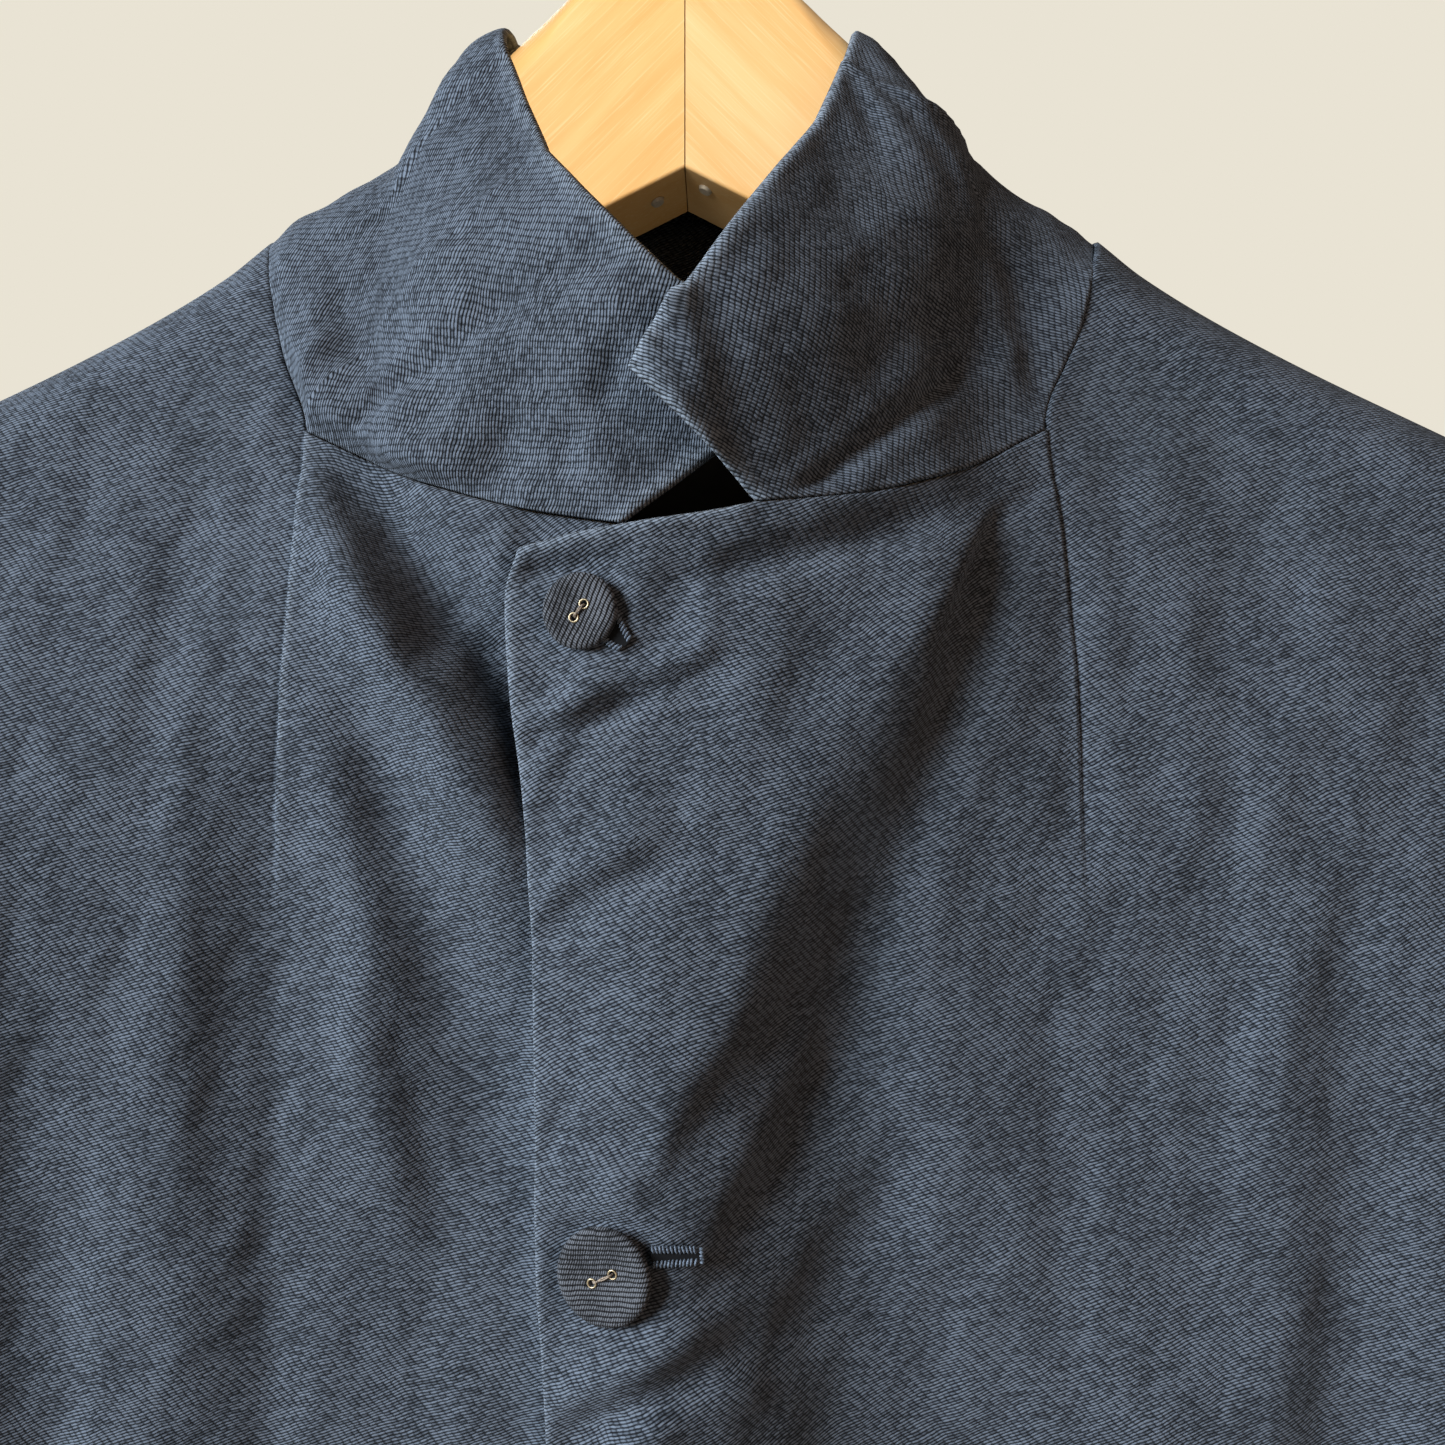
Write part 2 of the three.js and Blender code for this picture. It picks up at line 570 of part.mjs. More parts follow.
function collar(panels) {
  const columns = collarColumns(panels);
  const rows = steps(COLLAR_ACROSS).map((v) =>
    columns.map(({ seam, edge, face, which, standing, end, onRidge }) => {
      const x = lerp(seam.p.x, edge.x, v);
      const seamRidge = ridgeZ(seam.p.x);
      const edgeRidge = ridgeZ(edge.x);
      const bend = ridgeZ(x) - lerp(seamRidge, edgeRidge, v);
      const z = lerp(seam.p.z, edge.z, v) + bend * onRidge;
      const bow = COLLAR_STAND * standing * 4 * v * (1 - v);
      const flip = which === "left" ? CORNER_FLIP * end * v * v : 0;
      const y = clothY(x, z, face, which) + (face === "front" ? -1 : 1) * (bow + flip);
      return at(x, y, z);
    }),
  );
  const outs = waysOut(rows, (p, r, c) => OUTWARD[columns[c].face]);
  columns.forEach(({ seam }, c) => {
    const away = rows[1][c].clone().sub(seam.p).normalize();
    const onShoulder = Math.abs(Math.abs(seam.p.x) - NECK_POINT) < SEAM_GAP;
    const start = onShoulder ? seam.p.clone().setY(seam.p.y + SEAM_GAP / 2) : seam.p.clone();
    rows[0][c] = start.addScaledVector(away, 1.5 * SEAM_GAP);
    outs[0][c] = seam.out.clone();
  });
  return wall(rows, outs, CLOTH);
}

// The label lies just inside the back's inner face.
function neckLabel() {
  const inside = CLOTH / 2 + LABEL.clear + LABEL.thick / 2;
  const rows = steps(LABEL.rows).map((v) =>
    steps(LABEL.columns).map((u) => {
      const x = LABEL.x + lerp(-LABEL.half, LABEL.half, u);
      const z = lerp(LABEL.top, LABEL.bottom, v);
      return at(x, clothY(x, z, "back") - inside, z);
    }),
  );
  return wall(rows, waysOut(rows, () => OUTWARD.back), LABEL.thick);
}

// ---- Buttons ----
// A covered button: flat underneath, a soft rim and a slightly hollow face.
function buttonGeometry(dia) {
  const rim = BUTTON_SECTION.map(({ inset, up }) => new THREE.Vector2(dia / 2 - inset, up * BUTTON.thick));
  const top = new THREE.Vector2(0, BUTTON.middle * BUTTON.thick);
  const profile = [new THREE.Vector2(0, 0), ...rim, top];
  return new THREE.LatheGeometry(profile, BUTTON.sides).rotateX(Math.PI / 2);
}

function placeButton(mesh, { x, z }) {
  const reach = 4; // half span over which the cloth's slope is taken
  const y = (px, pz) => clothY(px, pz, "front", "left");
  const across = at(2 * reach, y(x + reach, z) - y(x - reach, z), 0);
  const up = at(0, y(x, z + reach) - y(x, z - reach), 2 * reach);
  const out = across.cross(up).normalize();
  const seat = CLOTH / 2 + SEAM_GAP + BUTTON.clear; // clears the cloth's curve below the button
  mesh.position.set(x, y(x, z), z).addScaledVector(out, seat);
  mesh.quaternion.setFromUnitVectors(at(0, 0, 1), out);
}

// ---- Hanger ----
function armGeometry(side) {
  const rings = ARM.map((s) => {
    const middle = -SWEEP.out * (s.x / SWEEP.at) ** 2;
    const crown = steps(2 * TURN_STEPS).map((t) => {
      const turn = (t - 0.5) * Math.PI;
      const across = s.half * Math.sin(turn);
      return at(s.x, middle + across, s.top - s.crown * (1 - Math.cos(turn)));
    });
    const foot = [
      [s.half, s.bottom + ARM_FOOT],
      [s.half - ARM_FOOT, s.bottom],
      [ARM_FOOT - s.half, s.bottom],
      [-s.half, s.bottom + ARM_FOOT],
    ].map(([y, z]) => at(s.x, middle + y, z));
    return [...crown, ...foot].map((p) => p.setX(p.x * side));
  });
  return loft(rings);
}

// A closed body through rings of equal count, with flat ends.
function loft(rings) {
  const count = rings[0].length;
  const faces = [];
  rings.slice(1).forEach((_, k) => {
    for (let i = 0; i < count; i += 1) {
      const a = k * count + i;
      const b = k * count + ((i + 1) % count);
      faces.push([a, b, b + count], [a, b + count, a + count]);
    }
  });
  const end = (rings.length - 1) * count;
  for (let i = 1; i + 1 < count; i += 1) faces.push([0, i + 1, i], [end, end + i, end + i + 1]);
  const geometry = new THREE.BufferGeometry();
  const flat = rings.flat().flatMap((p) => p.toArray());
  geometry.setAttribute("position", new THREE.Float32BufferAttribute(flat, 3));
  geometry.setIndex(faces.flat());
  if (signedVolume(geometry) < 0) geometry.setIndex(faces.map((f) => [...f].reverse()).flat());
  return geometry;
}

// ---- Joins ----
function solidOf(geometry) {
  const bare = geometry.clone();
  bare.deleteAttribute("normal");
  bare.deleteAttribute("uv");
  const merged = mergeVertices(bare, 1e-4);
  const vertProperties = merged.getAttribute("position").array;
  const triVerts = new Uint32Array(merged.index.array);
  return new wasm.Manifold(new wasm.Mesh({ numProp: 3, vertProperties, triVerts }));
}

function geometryOf(solid) {
  const mesh = solid.getMesh();
  const geometry = new THREE.BufferGeometry();
  geometry.setAttribute("position", new THREE.BufferAttribute(mesh.vertProperties, 3));
  geometry.setIndex(new THREE.BufferAttribute(mesh.triVerts, 1));
  return geometry;
}

// The hook: a round wire bent over the rod, with a straight shank into a small ferrule.
function hookGeometry() {
  const bend = HOOK.inside + HOOK.wire / 2;
  const middle = -HOOK.inside;
  const points = [];
  for (let angle = HOOK.from; angle <= HOOK.to; angle += HOOK.every) {
    const turn = THREE.MathUtils.degToRad(angle);
    points.push(at(bend * Math.cos(turn), 0, middle + bend * Math.sin(turn)));
  }
  points.push(at(HOOK_LEAD.x, 0, HOOK_LEAD.z), at(0, 0, HOOK.shank), at(0, 0, HOOK.foot));
  const path = new THREE.CatmullRomCurve3(points);
  const section = new THREE.Shape().absarc(0, 0, HOOK.wire / 2, 0, 2 * Math.PI);
  const wire = new THREE.ExtrudeGeometry(section, {
    steps: 36,
    curveSegments: 4,
    bevelEnabled: false,
    extrudePath: path,
  });
  const ferrule = new THREE.CylinderGeometry(FERRULE.head / 2, FERRULE.foot / 2, FERRULE.tall, 20);
  const seat = ARM[0].top + SEAM_GAP;
  ferrule.rotateX(Math.PI / 2).translate(0, 0, seat + FERRULE.tall / 2);
  return geometryOf(solidOf(wire).add(solidOf(ferrule)));
}

// ---- The jacket ----
const linen = { color: "#3b4757", roughness: 0.92, metalness: 0 };
const coveredLinen = { color: "#34383e", roughness: 0.92, metalness: 0 };
const blackSatin = { color: "#0b0b0d", roughness: 0.7, metalness: 0 };
const maple = { color: "#ecc286", roughness: 0.45, metalness: 0 };
const steel = { color: "#b9bcc0", roughness: 0.3, metalness: 1 };

const jacket = new THREE.Group();
function add(name, geometry, finish) {
  const mesh = new THREE.Mesh(geometry, new THREE.MeshStandardMaterial(finish));
  mesh.name = name;
  jacket.add(mesh);
  return mesh;
}

const panels = { left: frontPanel("left"), right: frontPanel("right"), back: backPanel() };
add("front_left", wall(panels.left.rows, panels.left.outs, CLOTH), linen);
add("front_right", wall(panels.right.rows, panels.right.outs, CLOTH), linen);
add("back", wall(panels.back.rows, panels.back.outs, CLOTH), linen);
add("collar", collar(panels), linen);
add("sleeve_left", sleeve(1), linen);
add("sleeve_right", sleeve(-1), linen);
add("neck_label", neckLabel(), blackSatin);
for (const button of BUTTONS)
  placeButton(add(button.name, geometryOf(solidOf(buttonGeometry(button.dia))), coveredLinen), button);
add("hanger_arm_left", armGeometry(1), maple);
add("hanger_arm_right", armGeometry(-1), maple);
add("hanger_hook", hookGeometry(), steel);

export default jacket;
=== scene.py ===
"""A navy linen jacket on a wide maple hanger. Tables and shape formulas are in millimetres."""
import math

import bmesh
import bpy
import numpy as np
from mathutils import Matrix, Vector


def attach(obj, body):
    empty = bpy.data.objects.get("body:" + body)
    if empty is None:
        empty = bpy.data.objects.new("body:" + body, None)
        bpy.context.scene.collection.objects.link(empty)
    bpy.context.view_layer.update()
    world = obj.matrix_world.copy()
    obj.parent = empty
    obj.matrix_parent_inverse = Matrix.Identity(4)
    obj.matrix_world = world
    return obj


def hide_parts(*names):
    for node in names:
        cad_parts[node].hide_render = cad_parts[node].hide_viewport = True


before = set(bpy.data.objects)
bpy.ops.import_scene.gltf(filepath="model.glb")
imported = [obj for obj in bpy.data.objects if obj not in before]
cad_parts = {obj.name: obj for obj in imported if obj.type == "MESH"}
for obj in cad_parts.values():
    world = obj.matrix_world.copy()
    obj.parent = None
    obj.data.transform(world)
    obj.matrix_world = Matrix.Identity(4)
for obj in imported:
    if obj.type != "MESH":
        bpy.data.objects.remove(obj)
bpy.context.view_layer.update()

MM = 0.001


def table(columns, *rows):
    """A short table: one dict for each row, with these column names."""
    names = columns.split()
    return [dict(zip(names, row)) for row in rows]


# ---- Driving sizes ----
CLOTH = 1.6  # wall of the cloth pieces that these sheets stand for
SHEET = 1.3  # thickness of the linen with its turned edges
HEM_Z = -890
HEM_HALF = 253
UNDERARM_Z = -435
UNDERARM_HALF = 247
ARM_REACH = 24  # from the hanger's middle plane to the cloth over its arms
ROUND_OVER = 22  # drop over which the cloth turns from the top of an arm to its face
SIDE_TURN = 55  # width over which a panel turns to the side seam
FULLNESS = {"front": 20, "back": 12, "drop": 150}  # how much further out it hangs below the arms
SWEEP = {"out": 14, "at": 220}  # how far forward the shoulder line has come at a half width
# The front stands out below the neck, most in the middle and less further down.
NECK_BULGE = {"out": 22, "half": 66, "from": 10, "drop": 110, "fade_top": 260, "fade_drop": 200,
              "keep": 0.3}
OVERLAP = {"lift": 3.8, "to": 54, "fade": 38}  # the left front lies this far over the right one
NECK_POINT = 115  # half width where the neckline crosses the shoulder
TIP_X = 232  # half width where the sleeve's top meets the shoulder

RIDGE = table("x z", (0, -58), (47.5, -91.5), (52.5, -93.3), (57, -96.8), (60.5, -100.6), (64, -106.2),
              (71.5, -119.5), (77.5, -128.5), (86, -133.2), (96, -138.5), (107, -144.8), (115, -151),
              (127, -161), (158, -180.5), (234, -220))
SIDE = table("z x", (-217, TIP_X), (-255, 225), (-305, 219), (-355, 220), (-395, 229), (-422, 241),
             (UNDERARM_Z, UNDERARM_HALF), (-600, 249), (HEM_Z, HEM_HALF))
FRONTS = {
    "left": {
        "side": 1,
        "edge": table("z x", (-243, -41), (-256, -44.5), (-280, -43), (-308, -40), (-357, -37.5),
                      (-415, -37.5), (-473, -35), (HEM_Z, -22)),
        "free_top": table("x z", (-41, -243), (-22, -239), (8, -234.5), (18.6, -232.4)),
        "line": table("z x", (-151, NECK_POINT), (-161, 111.5), (-182, 106), (-209.5, 96),
                      (-237, 99.5), (-300, 103), (HEM_Z, 112)),
    },
    "right": {
        "side": -1,
        "edge": table("z x", (-246, 50), (HEM_Z, 62)),
        "free_top": table("x z", (-14.5, -237.5), (8, -240.5), (50, -246)),
        "line": table("z x", (-151, -NECK_POINT), (-172, -111), (-189, -107), (-209.5, -100.5),
                      (-255, -102.5), (-320, -106), (HEM_Z, -112)),
    },
}
COLLAR_ENDS = {
    "left": table("seam_x seam_z edge_x edge_z", (18.6, -232.4, -12, -202), (44, -229.5, 1.5, -181),
                  (70, -222.5, 14, -161), (96, -209.5, 30, -137.5)),
    "right": table("seam_x seam_z edge_x edge_z", (-14.5, -237.5, 26, -208), (-38, -233.5, 8, -186.5),
                   (-66, -225.5, -10, -168.5), (-100.5, -209.5, -31, -143)),
}
COLLAR_CLIMB = {
    "left": table("z x", (-137.5, 30), (-108, 43), (-91.5, 47.5)),
    "right": table("z x", (-143, -31), (-118, -42), (-108, -46), (-91.5, -48.5)),
}
PEAK_DROP = 0.86  # share of the round-over's drop that the free edge takes
COLLAR_BACK = table("seam_x seam_z edge_x edge_z", (115, -151, 47.5, -91.5), (110.5, -152.6, 46.5, -94.5),
                    (104, -154.4, 44, -98), (92, -151.5, 38, -100), (68, -142.5, 28, -99),
                    (36, -134.5, 15, -97), (0, -132, 0, -96))
COLLAR_STAND = 2  # how far the middle of the collar bows out, away from its ends
CORNER_FLIP = 2.5  # how far the left end's free corner lifts
EDGE_ROLL = {"free": 1.5, "sewn": 1.0, "collar": 1.6, "armhole": 1.2}  # how far edges roll in
SLEEVE = table("top_x top_z low_x low_z depth y", (253, -226, 256, -446, 38, -13),
               (277, -247, 260, -470, 44, -14), (299, -288, 263, -500, 48, -15),
               (316, -350, 265, -535, 50, -17), (328, -430, 266, -575, 50, -20),
               (336, -520, 266, -625, 48, -24), (340, -610, 265, -680, 46, -28),
               (341, -700, 264, -740, 45, -32), (340, -794, 262, -801, 44, -36))

# Folds: a roll has a crest on one side of its line and a trough on the other. Widths are at its
# two ends, depth is how far it sinks (less than nothing stands out) and bow is how far it curves.
# A step lies at one height on one side of its line and at another on the other.
def folds(on, **kinds):
    """The folds on one side of the garment, listed by kind. A fold that doesn't bow leaves that out."""
    rows = [(on, kind, *row) for kind in kinds for row in kinds[kind]]
    return table("on kind x0 z0 x1 z1 w0 w1 depth bow", *rows)


FRONT_FOLDS = [
    *folds(
        "both",
        roll=[(90, -208, 3, -416, 5.5, 18, 4.6), (15, -300, 38, -640, 20, 30, 9),
              (-2, -325, 8, -560, 16, 18, 2.6), (34, -540, 22, -1100, 24, 32, 6)],
        trough=[(100, -214, 104, -345, 5, 9, 1.5), (84, -430, 92, -1100, 22, 34, 8),
                (-166, -300, -172, -1100, 14, 30, 9), (170, -340, 176, -1100, 16, 30, 9)],
    ),
    *folds(
        "right",
        roll=[(-99, -212, -12, -340, 6, 16, 11, -3), (-97, -254, -52, -440, 6, 13, 3.4, 3),
              (-114, -255, -128, -520, 8, 13, 2)],
    ),
]
BACK_FOLDS = folds(
    "both",
    trough=[(-120, -230, -140, -1100, 16, 32, 9), (-16, -300, -30, -1100, 18, 34, 10),
            (92, -220, 120, -1100, 14, 32, 9)],
)
FOLD_ENDS = {"in": 0.3, "out": 0.35}


# ---- Small helpers ----
def lerp(a, b, t):
    return a + (b - a) * t


def smooth(t):
    t = np.clip(t, 0, 1)
    return t * t * (3 - 2 * t)


def bell(distance, width):
    """1 where there is no distance, falling softly to a third at this width on either side."""
    return np.exp(-((distance / width) ** 2))


def column(rows, name):
    return np.array([row[name] for row in rows], float)


def read(rows, by, out, value):
    """Column out where column by has a value, on a smooth curve that never overshoots the rows."""
    at, to = column(rows, by), column(rows, out)
    if at[0] > at[-1]:
        at, to = at[::-1], to[::-1]
    slope = np.diff(to) / np.diff(at)
    before = np.r_[slope[:1], slope]
    after = np.r_[slope, slope[-1:]]
    same = before * after > 0
    tangent = np.where(same, 2 * before * after / np.where(same, before + after, 1), 0)
    value = np.clip(value, at[0], at[-1])
    i = np.clip(np.searchsorted(at, value, side="right") - 1, 0, len(at) - 2)
    span = at[i + 1] - at[i]
    t = (value - at[i]) / span
    swing = tangent[i] * (1 - t) - tangent[i + 1] * t
    return lerp(to[i], to[i + 1], t * t * (3 - 2 * t)) + swing * span * t * (1 - t)


def read_at(rows, out, position):
    """Column out at a row position between two rows, such as 1.5."""
    return read([{"i": i, out: row[out]} for i, row in enumerate(rows)], "i", out, position)


def row_at(rows, position):
    """Every column at a row position between two rows."""
    return {name: float(read_at(rows, name, position)) for name in rows[0]}


def shares(count, start=1.0, end=1.0):
    """count + 1 shares from 0 to 1, whose steps are these times the mean step at each end."""
    t = np.linspace(0, 1, 4 * count + 1)
    ease = 0.18
    pace = 1 + (start - 1) * (1 - smooth(t / ease)) + (end - 1) * (1 - smooth((1 - t) / ease))
    done = np.r_[0, np.cumsum((pace[1:] + pace[:-1]) / 2)]
    return np.interp(np.linspace(0, 1, count + 1), t, done / done[-1])


def ripple(x, z, wave, seed, turn=0.0, stretch=1.0, waves=14):
    """A smooth random field, mostly -1 to 1, with bumps some wave mm across, longer along turn."""
    rng = np.random.default_rng(seed)
    turn = math.radians(turn)
    along = (x * math.cos(turn) + z * math.sin(turn)) / stretch
    across = z * math.cos(turn) - x * math.sin(turn)
    total = 0
    for _ in range(waves):
        angle, phase = rng.uniform(0, 2 * math.pi, 2)
        scale = rng.uniform(0.65, 1.5) * math.pi / wave
        total = total + np.sin(scale * (along * math.cos(angle) + across * math.sin(angle)) + phase)
    return total / math.sqrt(waves)


# The puckers of washed linen, from wide and high to fine. Those of a sleeve wind round it.
PUCKER = "high wave seed turn stretch"
PUCKERS = {
    "front": table(PUCKER, (0.65, 30, 11, 84, 2.6), (0.42, 12, 21, 82, 2.6), (0.22, 6, 31, 76, 2.2)),
    "back": table(PUCKER, (1, 38, 41, 84, 2), (0.5, 15, 42, 75, 1.6), (0.2, 6, 43, 60, 1.4)),
    "sleeve": table(PUCKER, (1.4, 40, 51, 20, 1.6), (0.7, 17, 53, -20, 1.5), (0.25, 7, 55, 0, 1)),
    "collar": table(PUCKER, (0.9, 26, 61, 30, 1.5), (0.45, 11, 62, -30, 1.4), (0.18, 5.5, 63, 0, 1)),
}


def puckers(cloth, x, z, side=0, widest=1):
    """How far the puckers stand out. Each side has its own, and the widest may be lowered."""
    high = [row["high"] * ripple(x, z, row["wave"], row["seed"] + side, row["turn"], row["stretch"])
            for row in PUCKERS[cloth]]
    return widest * high[0] + high[1] + high[2]


# ---- The hung shape ----
def ridge_z(x):
    return read(RIDGE, "x", "z", np.abs(x))


def quarter_round(t):
    return np.sqrt(1 - (1 - np.clip(t, 0, 1)) ** 2)


def fold_out(fold, x, z):
    dx, dz = fold["x1"] - fold["x0"], fold["z1"] - fold["z0"]
    length = math.hypot(dx, dz)
    t = ((x - fold["x0"]) * dx + (z - fold["z0"]) * dz) / length**2
    bowed = fold.get("bow", 0) * np.sin(np.pi * np.clip(t, 0, 1))
    across = ((z - fold["z0"]) * dx - (x - fold["x0"]) * dz) / length - bowed
    s = across / np.maximum(lerp(fold["w0"], fold["w1"], t), 1)
    depth = fold["depth"] * smooth(t / FOLD_ENDS["in"]) * smooth((1 - t) / FOLD_ENDS["out"])
    if fold["kind"] == "roll":
        return -depth * s * np.exp((1 - s * s) / 2)
    if fold["kind"] == "step":
        return -depth * smooth(0.5 + s / 2)
    if fold["kind"] == "crease":
        return -depth * np.exp(-1.5 * np.sqrt(s * s + 0.02))
    return -depth * np.exp(-s * s)


def cloth_y(x, z, face, which=None):
    """The middle of the cloth at (x, z), on the front or the back of the garment."""
    half = np.abs(x)
    below = np.maximum(0, ridge_z(x) - z)
    limit = np.where(z > UNDERARM_Z, UNDERARM_HALF, read(SIDE, "z", "x", z))
    turned = quarter_round(below / ROUND_OVER) * quarter_round((limit - half) / SIDE_TURN)
    reach = ARM_REACH + FULLNESS[face] * smooth(below / FULLNESS["drop"])
    if face == "front":
        inward = bell(x, NECK_BULGE["half"])
        neck = inward * smooth((below - NECK_BULGE["from"]) / NECK_BULGE["drop"])
        lower = smooth((-z - NECK_BULGE["fade_top"]) / NECK_BULGE["fade_drop"])
        reach = reach + NECK_BULGE["out"] * neck * lerp(1, NECK_BULGE["keep"], lower)
        for fold in FRONT_FOLDS:
            if fold["on"] in ("both", which):
                reach = reach + fold_out(fold, x, z)
        if which == "left":
            reach = reach + OVERLAP["lift"] * (1 - smooth((x - OVERLAP["to"]) / OVERLAP["fade"]))
    else:
        for fold in BACK_FOLDS:
            reach = reach + fold_out(fold, x, z)
    forward = -SWEEP["out"] * (half / SWEEP["at"]) ** 2
    return forward + (-reach if face == "front" else reach) * turned


# ---- Fine creases, laid over the hung shape along the way out ----
FRONT_CREASES = {
    "left": folds(
        "left",
        roll=[(86, -224, 58, -276, 1.6, 3, 1.4, -1), (-66, -303, 22, -265, 2.2, 3, -2.4, 1),
              (-44, -328, -6, -262, 3, 4.5, -1.5, 4), (-52, -352, 10, -312, 3, 5, -1.9, 5),
              (4, -238, 2, -276, 4, 4, -0.7), (12, -262, -8, -290, 3, 5, 0.8),
              (-34, -392, -4, -404, 3, 4, 1.4, 3), (-48, -475, 26, -431, 4, 6, -3),
              (-14, -410, 30, -345, 4, 6, -1.5), (0, -432, 44, -354, 5, 7, -1.8),
              (16, -456, 58, -386, 5, 8, -1.8), (-44, -402, -26, -374, 2, 3, -1.3),
              (-26, -512, 6, -450, 4, 7, -2.2), (111, -212, 114, -330, 4, 6, 0.5),
              (91, -320, 95, -470, 4, 6, 0.5), (134, -230, 140, -400, 4, 7, 0.5),
              (160, -300, 166, -520, 8, 12, 1.6)],
        trough=[(100, -221, 78, -236, 1.5, 2, 1.1), (-54, -271, -22, -260, 1.6, 2.2, 1.7),
                (-46, -402, -30, -388, 3, 5, 1.3), (-14, -255, 90, -226, 4.6, 6, 5.2, -1.5),
                (-72, -252.5, -6, -246.5, 2.2, 3.4, 3.4), (4, -398, 26, -352, 2, 3, -0.6),
                (8, -428, 36, -376, 2.5, 4, -0.8), (20, -462, 48, -408, 2.5, 4, -0.7),
                (52, -300, 66, -262, 1.8, 2.6, -0.7), (-20, -396, 18, -372, 6, 9, 1.6),
                (2, -440, 24, -464, 4, 5, -1.4)],
        crease=[(33, -388, 22, -440, 1.2, 1.5, 0.6), (33, -388, 52, -430, 1.2, 1.5, 0.5),
                (48, -428, 58, -470, 1.2, 1.5, 0.6), (36, -318, 60, -326, 1.2, 1.5, 0.5),
                (-6, -298, 6, -322, 1.2, 1.5, 0.6)],
    ),
    "right": folds(
        "right",
        roll=[(-60, -262, -38, -300, 4, 7, 2.2, 2), (-124, -250, -130, -400, 4, 6, 0.8),
              (-108, -330, -116, -520, 4, 6, 0.8), (-84, -344, -64, -440, 5, 8, 1.6),
              (-116, -206, -120, -300, 3, 5, 0.6), (-138, -226, -144, -330, 4, 6, 0.6)],
        step=[(-125, -215, -125, -760, 60, 60, 4)],
        trough=[(-92, -218, -84, -236, 3, 3, 1.0), (-52, -236, -56, -262, 4, 6, 0.9)],
    ),
}
COLLAR_CREASES = [
    *folds(
        "left",
        step=[(-47, -267, 131, -116, 23, 23, -10.6), (22, -106, 96, -136, 7, 7, 5.2)],
        trough=[(-12, -150, 13, -247, 6, 4.4, -4.4), (12, -244, 92, -179, 2.6, 3.4, 3.2, -1),
                (22, -107, 92, -136, 2.2, 2.8, -3, -1), (42, -108, 70, -156, 3, 5, 1.6, 2),
                (50, -112, 82, -150, 2.6, 4, 1.4, 2), (38, -112, 52, -150, 3, 5, 1.2),
                (80, -158, 92, -172, 4, 5, 1.2), (16, -176, 60, -150, 5, 7, 1.0),
                (40, -206, 66, -176, 4, 6, 1.2)],
        roll=[(-10, -184, 6, -226, 3, 3, 1.5, 1), (84, -158, 92, -206, 4, 5, 1.4)],
    ),
    *folds(
        "right",
        trough=[(-98, -218, -28, -174, 2.5, 4, 2.4, -2), (-102, -204, -92, -184, 3, 4, -1.6),
                (-66, -218, -56, -196, 4, 5, 1.6), (-50, -232, -40, -204, 4, 5, 1.8),
                (-30, -230, -26, -208, 3, 4, 1.4), (-20, -212, -12, -188, 3, 4, 2.0),
                (-36, -180, -10, -172, 4, 5, 1.2)],
        step=[(-62, -260, -40, -150, 20, 20, -7), (-130, -106, -6, -230, 25, 25, -8)],
        roll=[(-112, -160, -104, -196, 3, 4, 1.4), (-96, -168, -84, -206, 4, 6, 1.4)],
    ),
]
# The collar's halves lean apart, each highest over the middle of the garment.
COLLAR_LEAN = {"left": 5, "right": 9, "from": 92}


# ---- Rows and columns of the body ----
CORNER_Z = -209.5
STRETCHES = table("rows line side back start end", (44, CORNER_Z, -290, -225, 1.0, 0.3),
                  (102, -445, UNDERARM_Z, -445, 0.25, 1.0), (82, HEM_Z, HEM_Z, HEM_Z, 0.5, 0.6))
TURN_ROWS = 12
CORNER_ROW = TURN_ROWS + STRETCHES[0]["rows"]
UNDERARM_ROW = CORNER_ROW + STRETCHES[1]["rows"]
FREE_COLUMNS = 30
SEAM_COLUMNS = 36
FLAT_COLUMNS = 40
SIDE_COLUMNS = 26
PANEL_WIDE = 140


def turn_drop(t):
    return ROUND_OVER * (1 - np.cos(t * np.pi / 2))


def row_heights(top, name):
    heights = [top - turn_drop(np.linspace(0, 1, TURN_ROWS + 1))]
    start = heights[0][-1]
    for stretch in STRETCHES:
        steps = shares(stretch["rows"], stretch["start"], stretch["end"])[1:]
        heights.append(lerp(start, stretch[name], steps))
        start = stretch[name]
    return np.concatenate(heights)


TIP_Z = float(ridge_z(TIP_X))
SIDE_HEIGHTS = row_heights(TIP_Z, "side")
TURN_SHARE = SIDE_TURN / PANEL_WIDE
SHOULDER_SHARES = np.r_[
    shares(FLAT_COLUMNS, 0.3, 1) * (1 - TURN_SHARE),
    1 - TURN_SHARE * (1 - np.sin(np.linspace(0, 1, SIDE_COLUMNS + 1)[1:] * np.pi / 2)),
]


def shoulder_part(line_x, line_z, side):
    """The shoulder part of a panel, from its line to its side: x and z for each row and column."""
    side_x = read(SIDE, "z", "x", SIDE_HEIGHTS)
    fade = 1 - smooth((np.arange(len(line_z)) - TURN_ROWS) / STRETCHES[0]["rows"])
    share = SHOULDER_SHARES[None, :]
    ridge = ridge_z(lerp(line_x[0], side * side_x[0], share)) - lerp(line_z[0], TIP_Z, share)
    x = lerp(line_x[:, None], side * side_x[:, None], share)
    return x, lerp(line_z[:, None], SIDE_HEIGHTS[:, None], share) + ridge * fade[:, None]


NECKLINE_FADE = 0.15


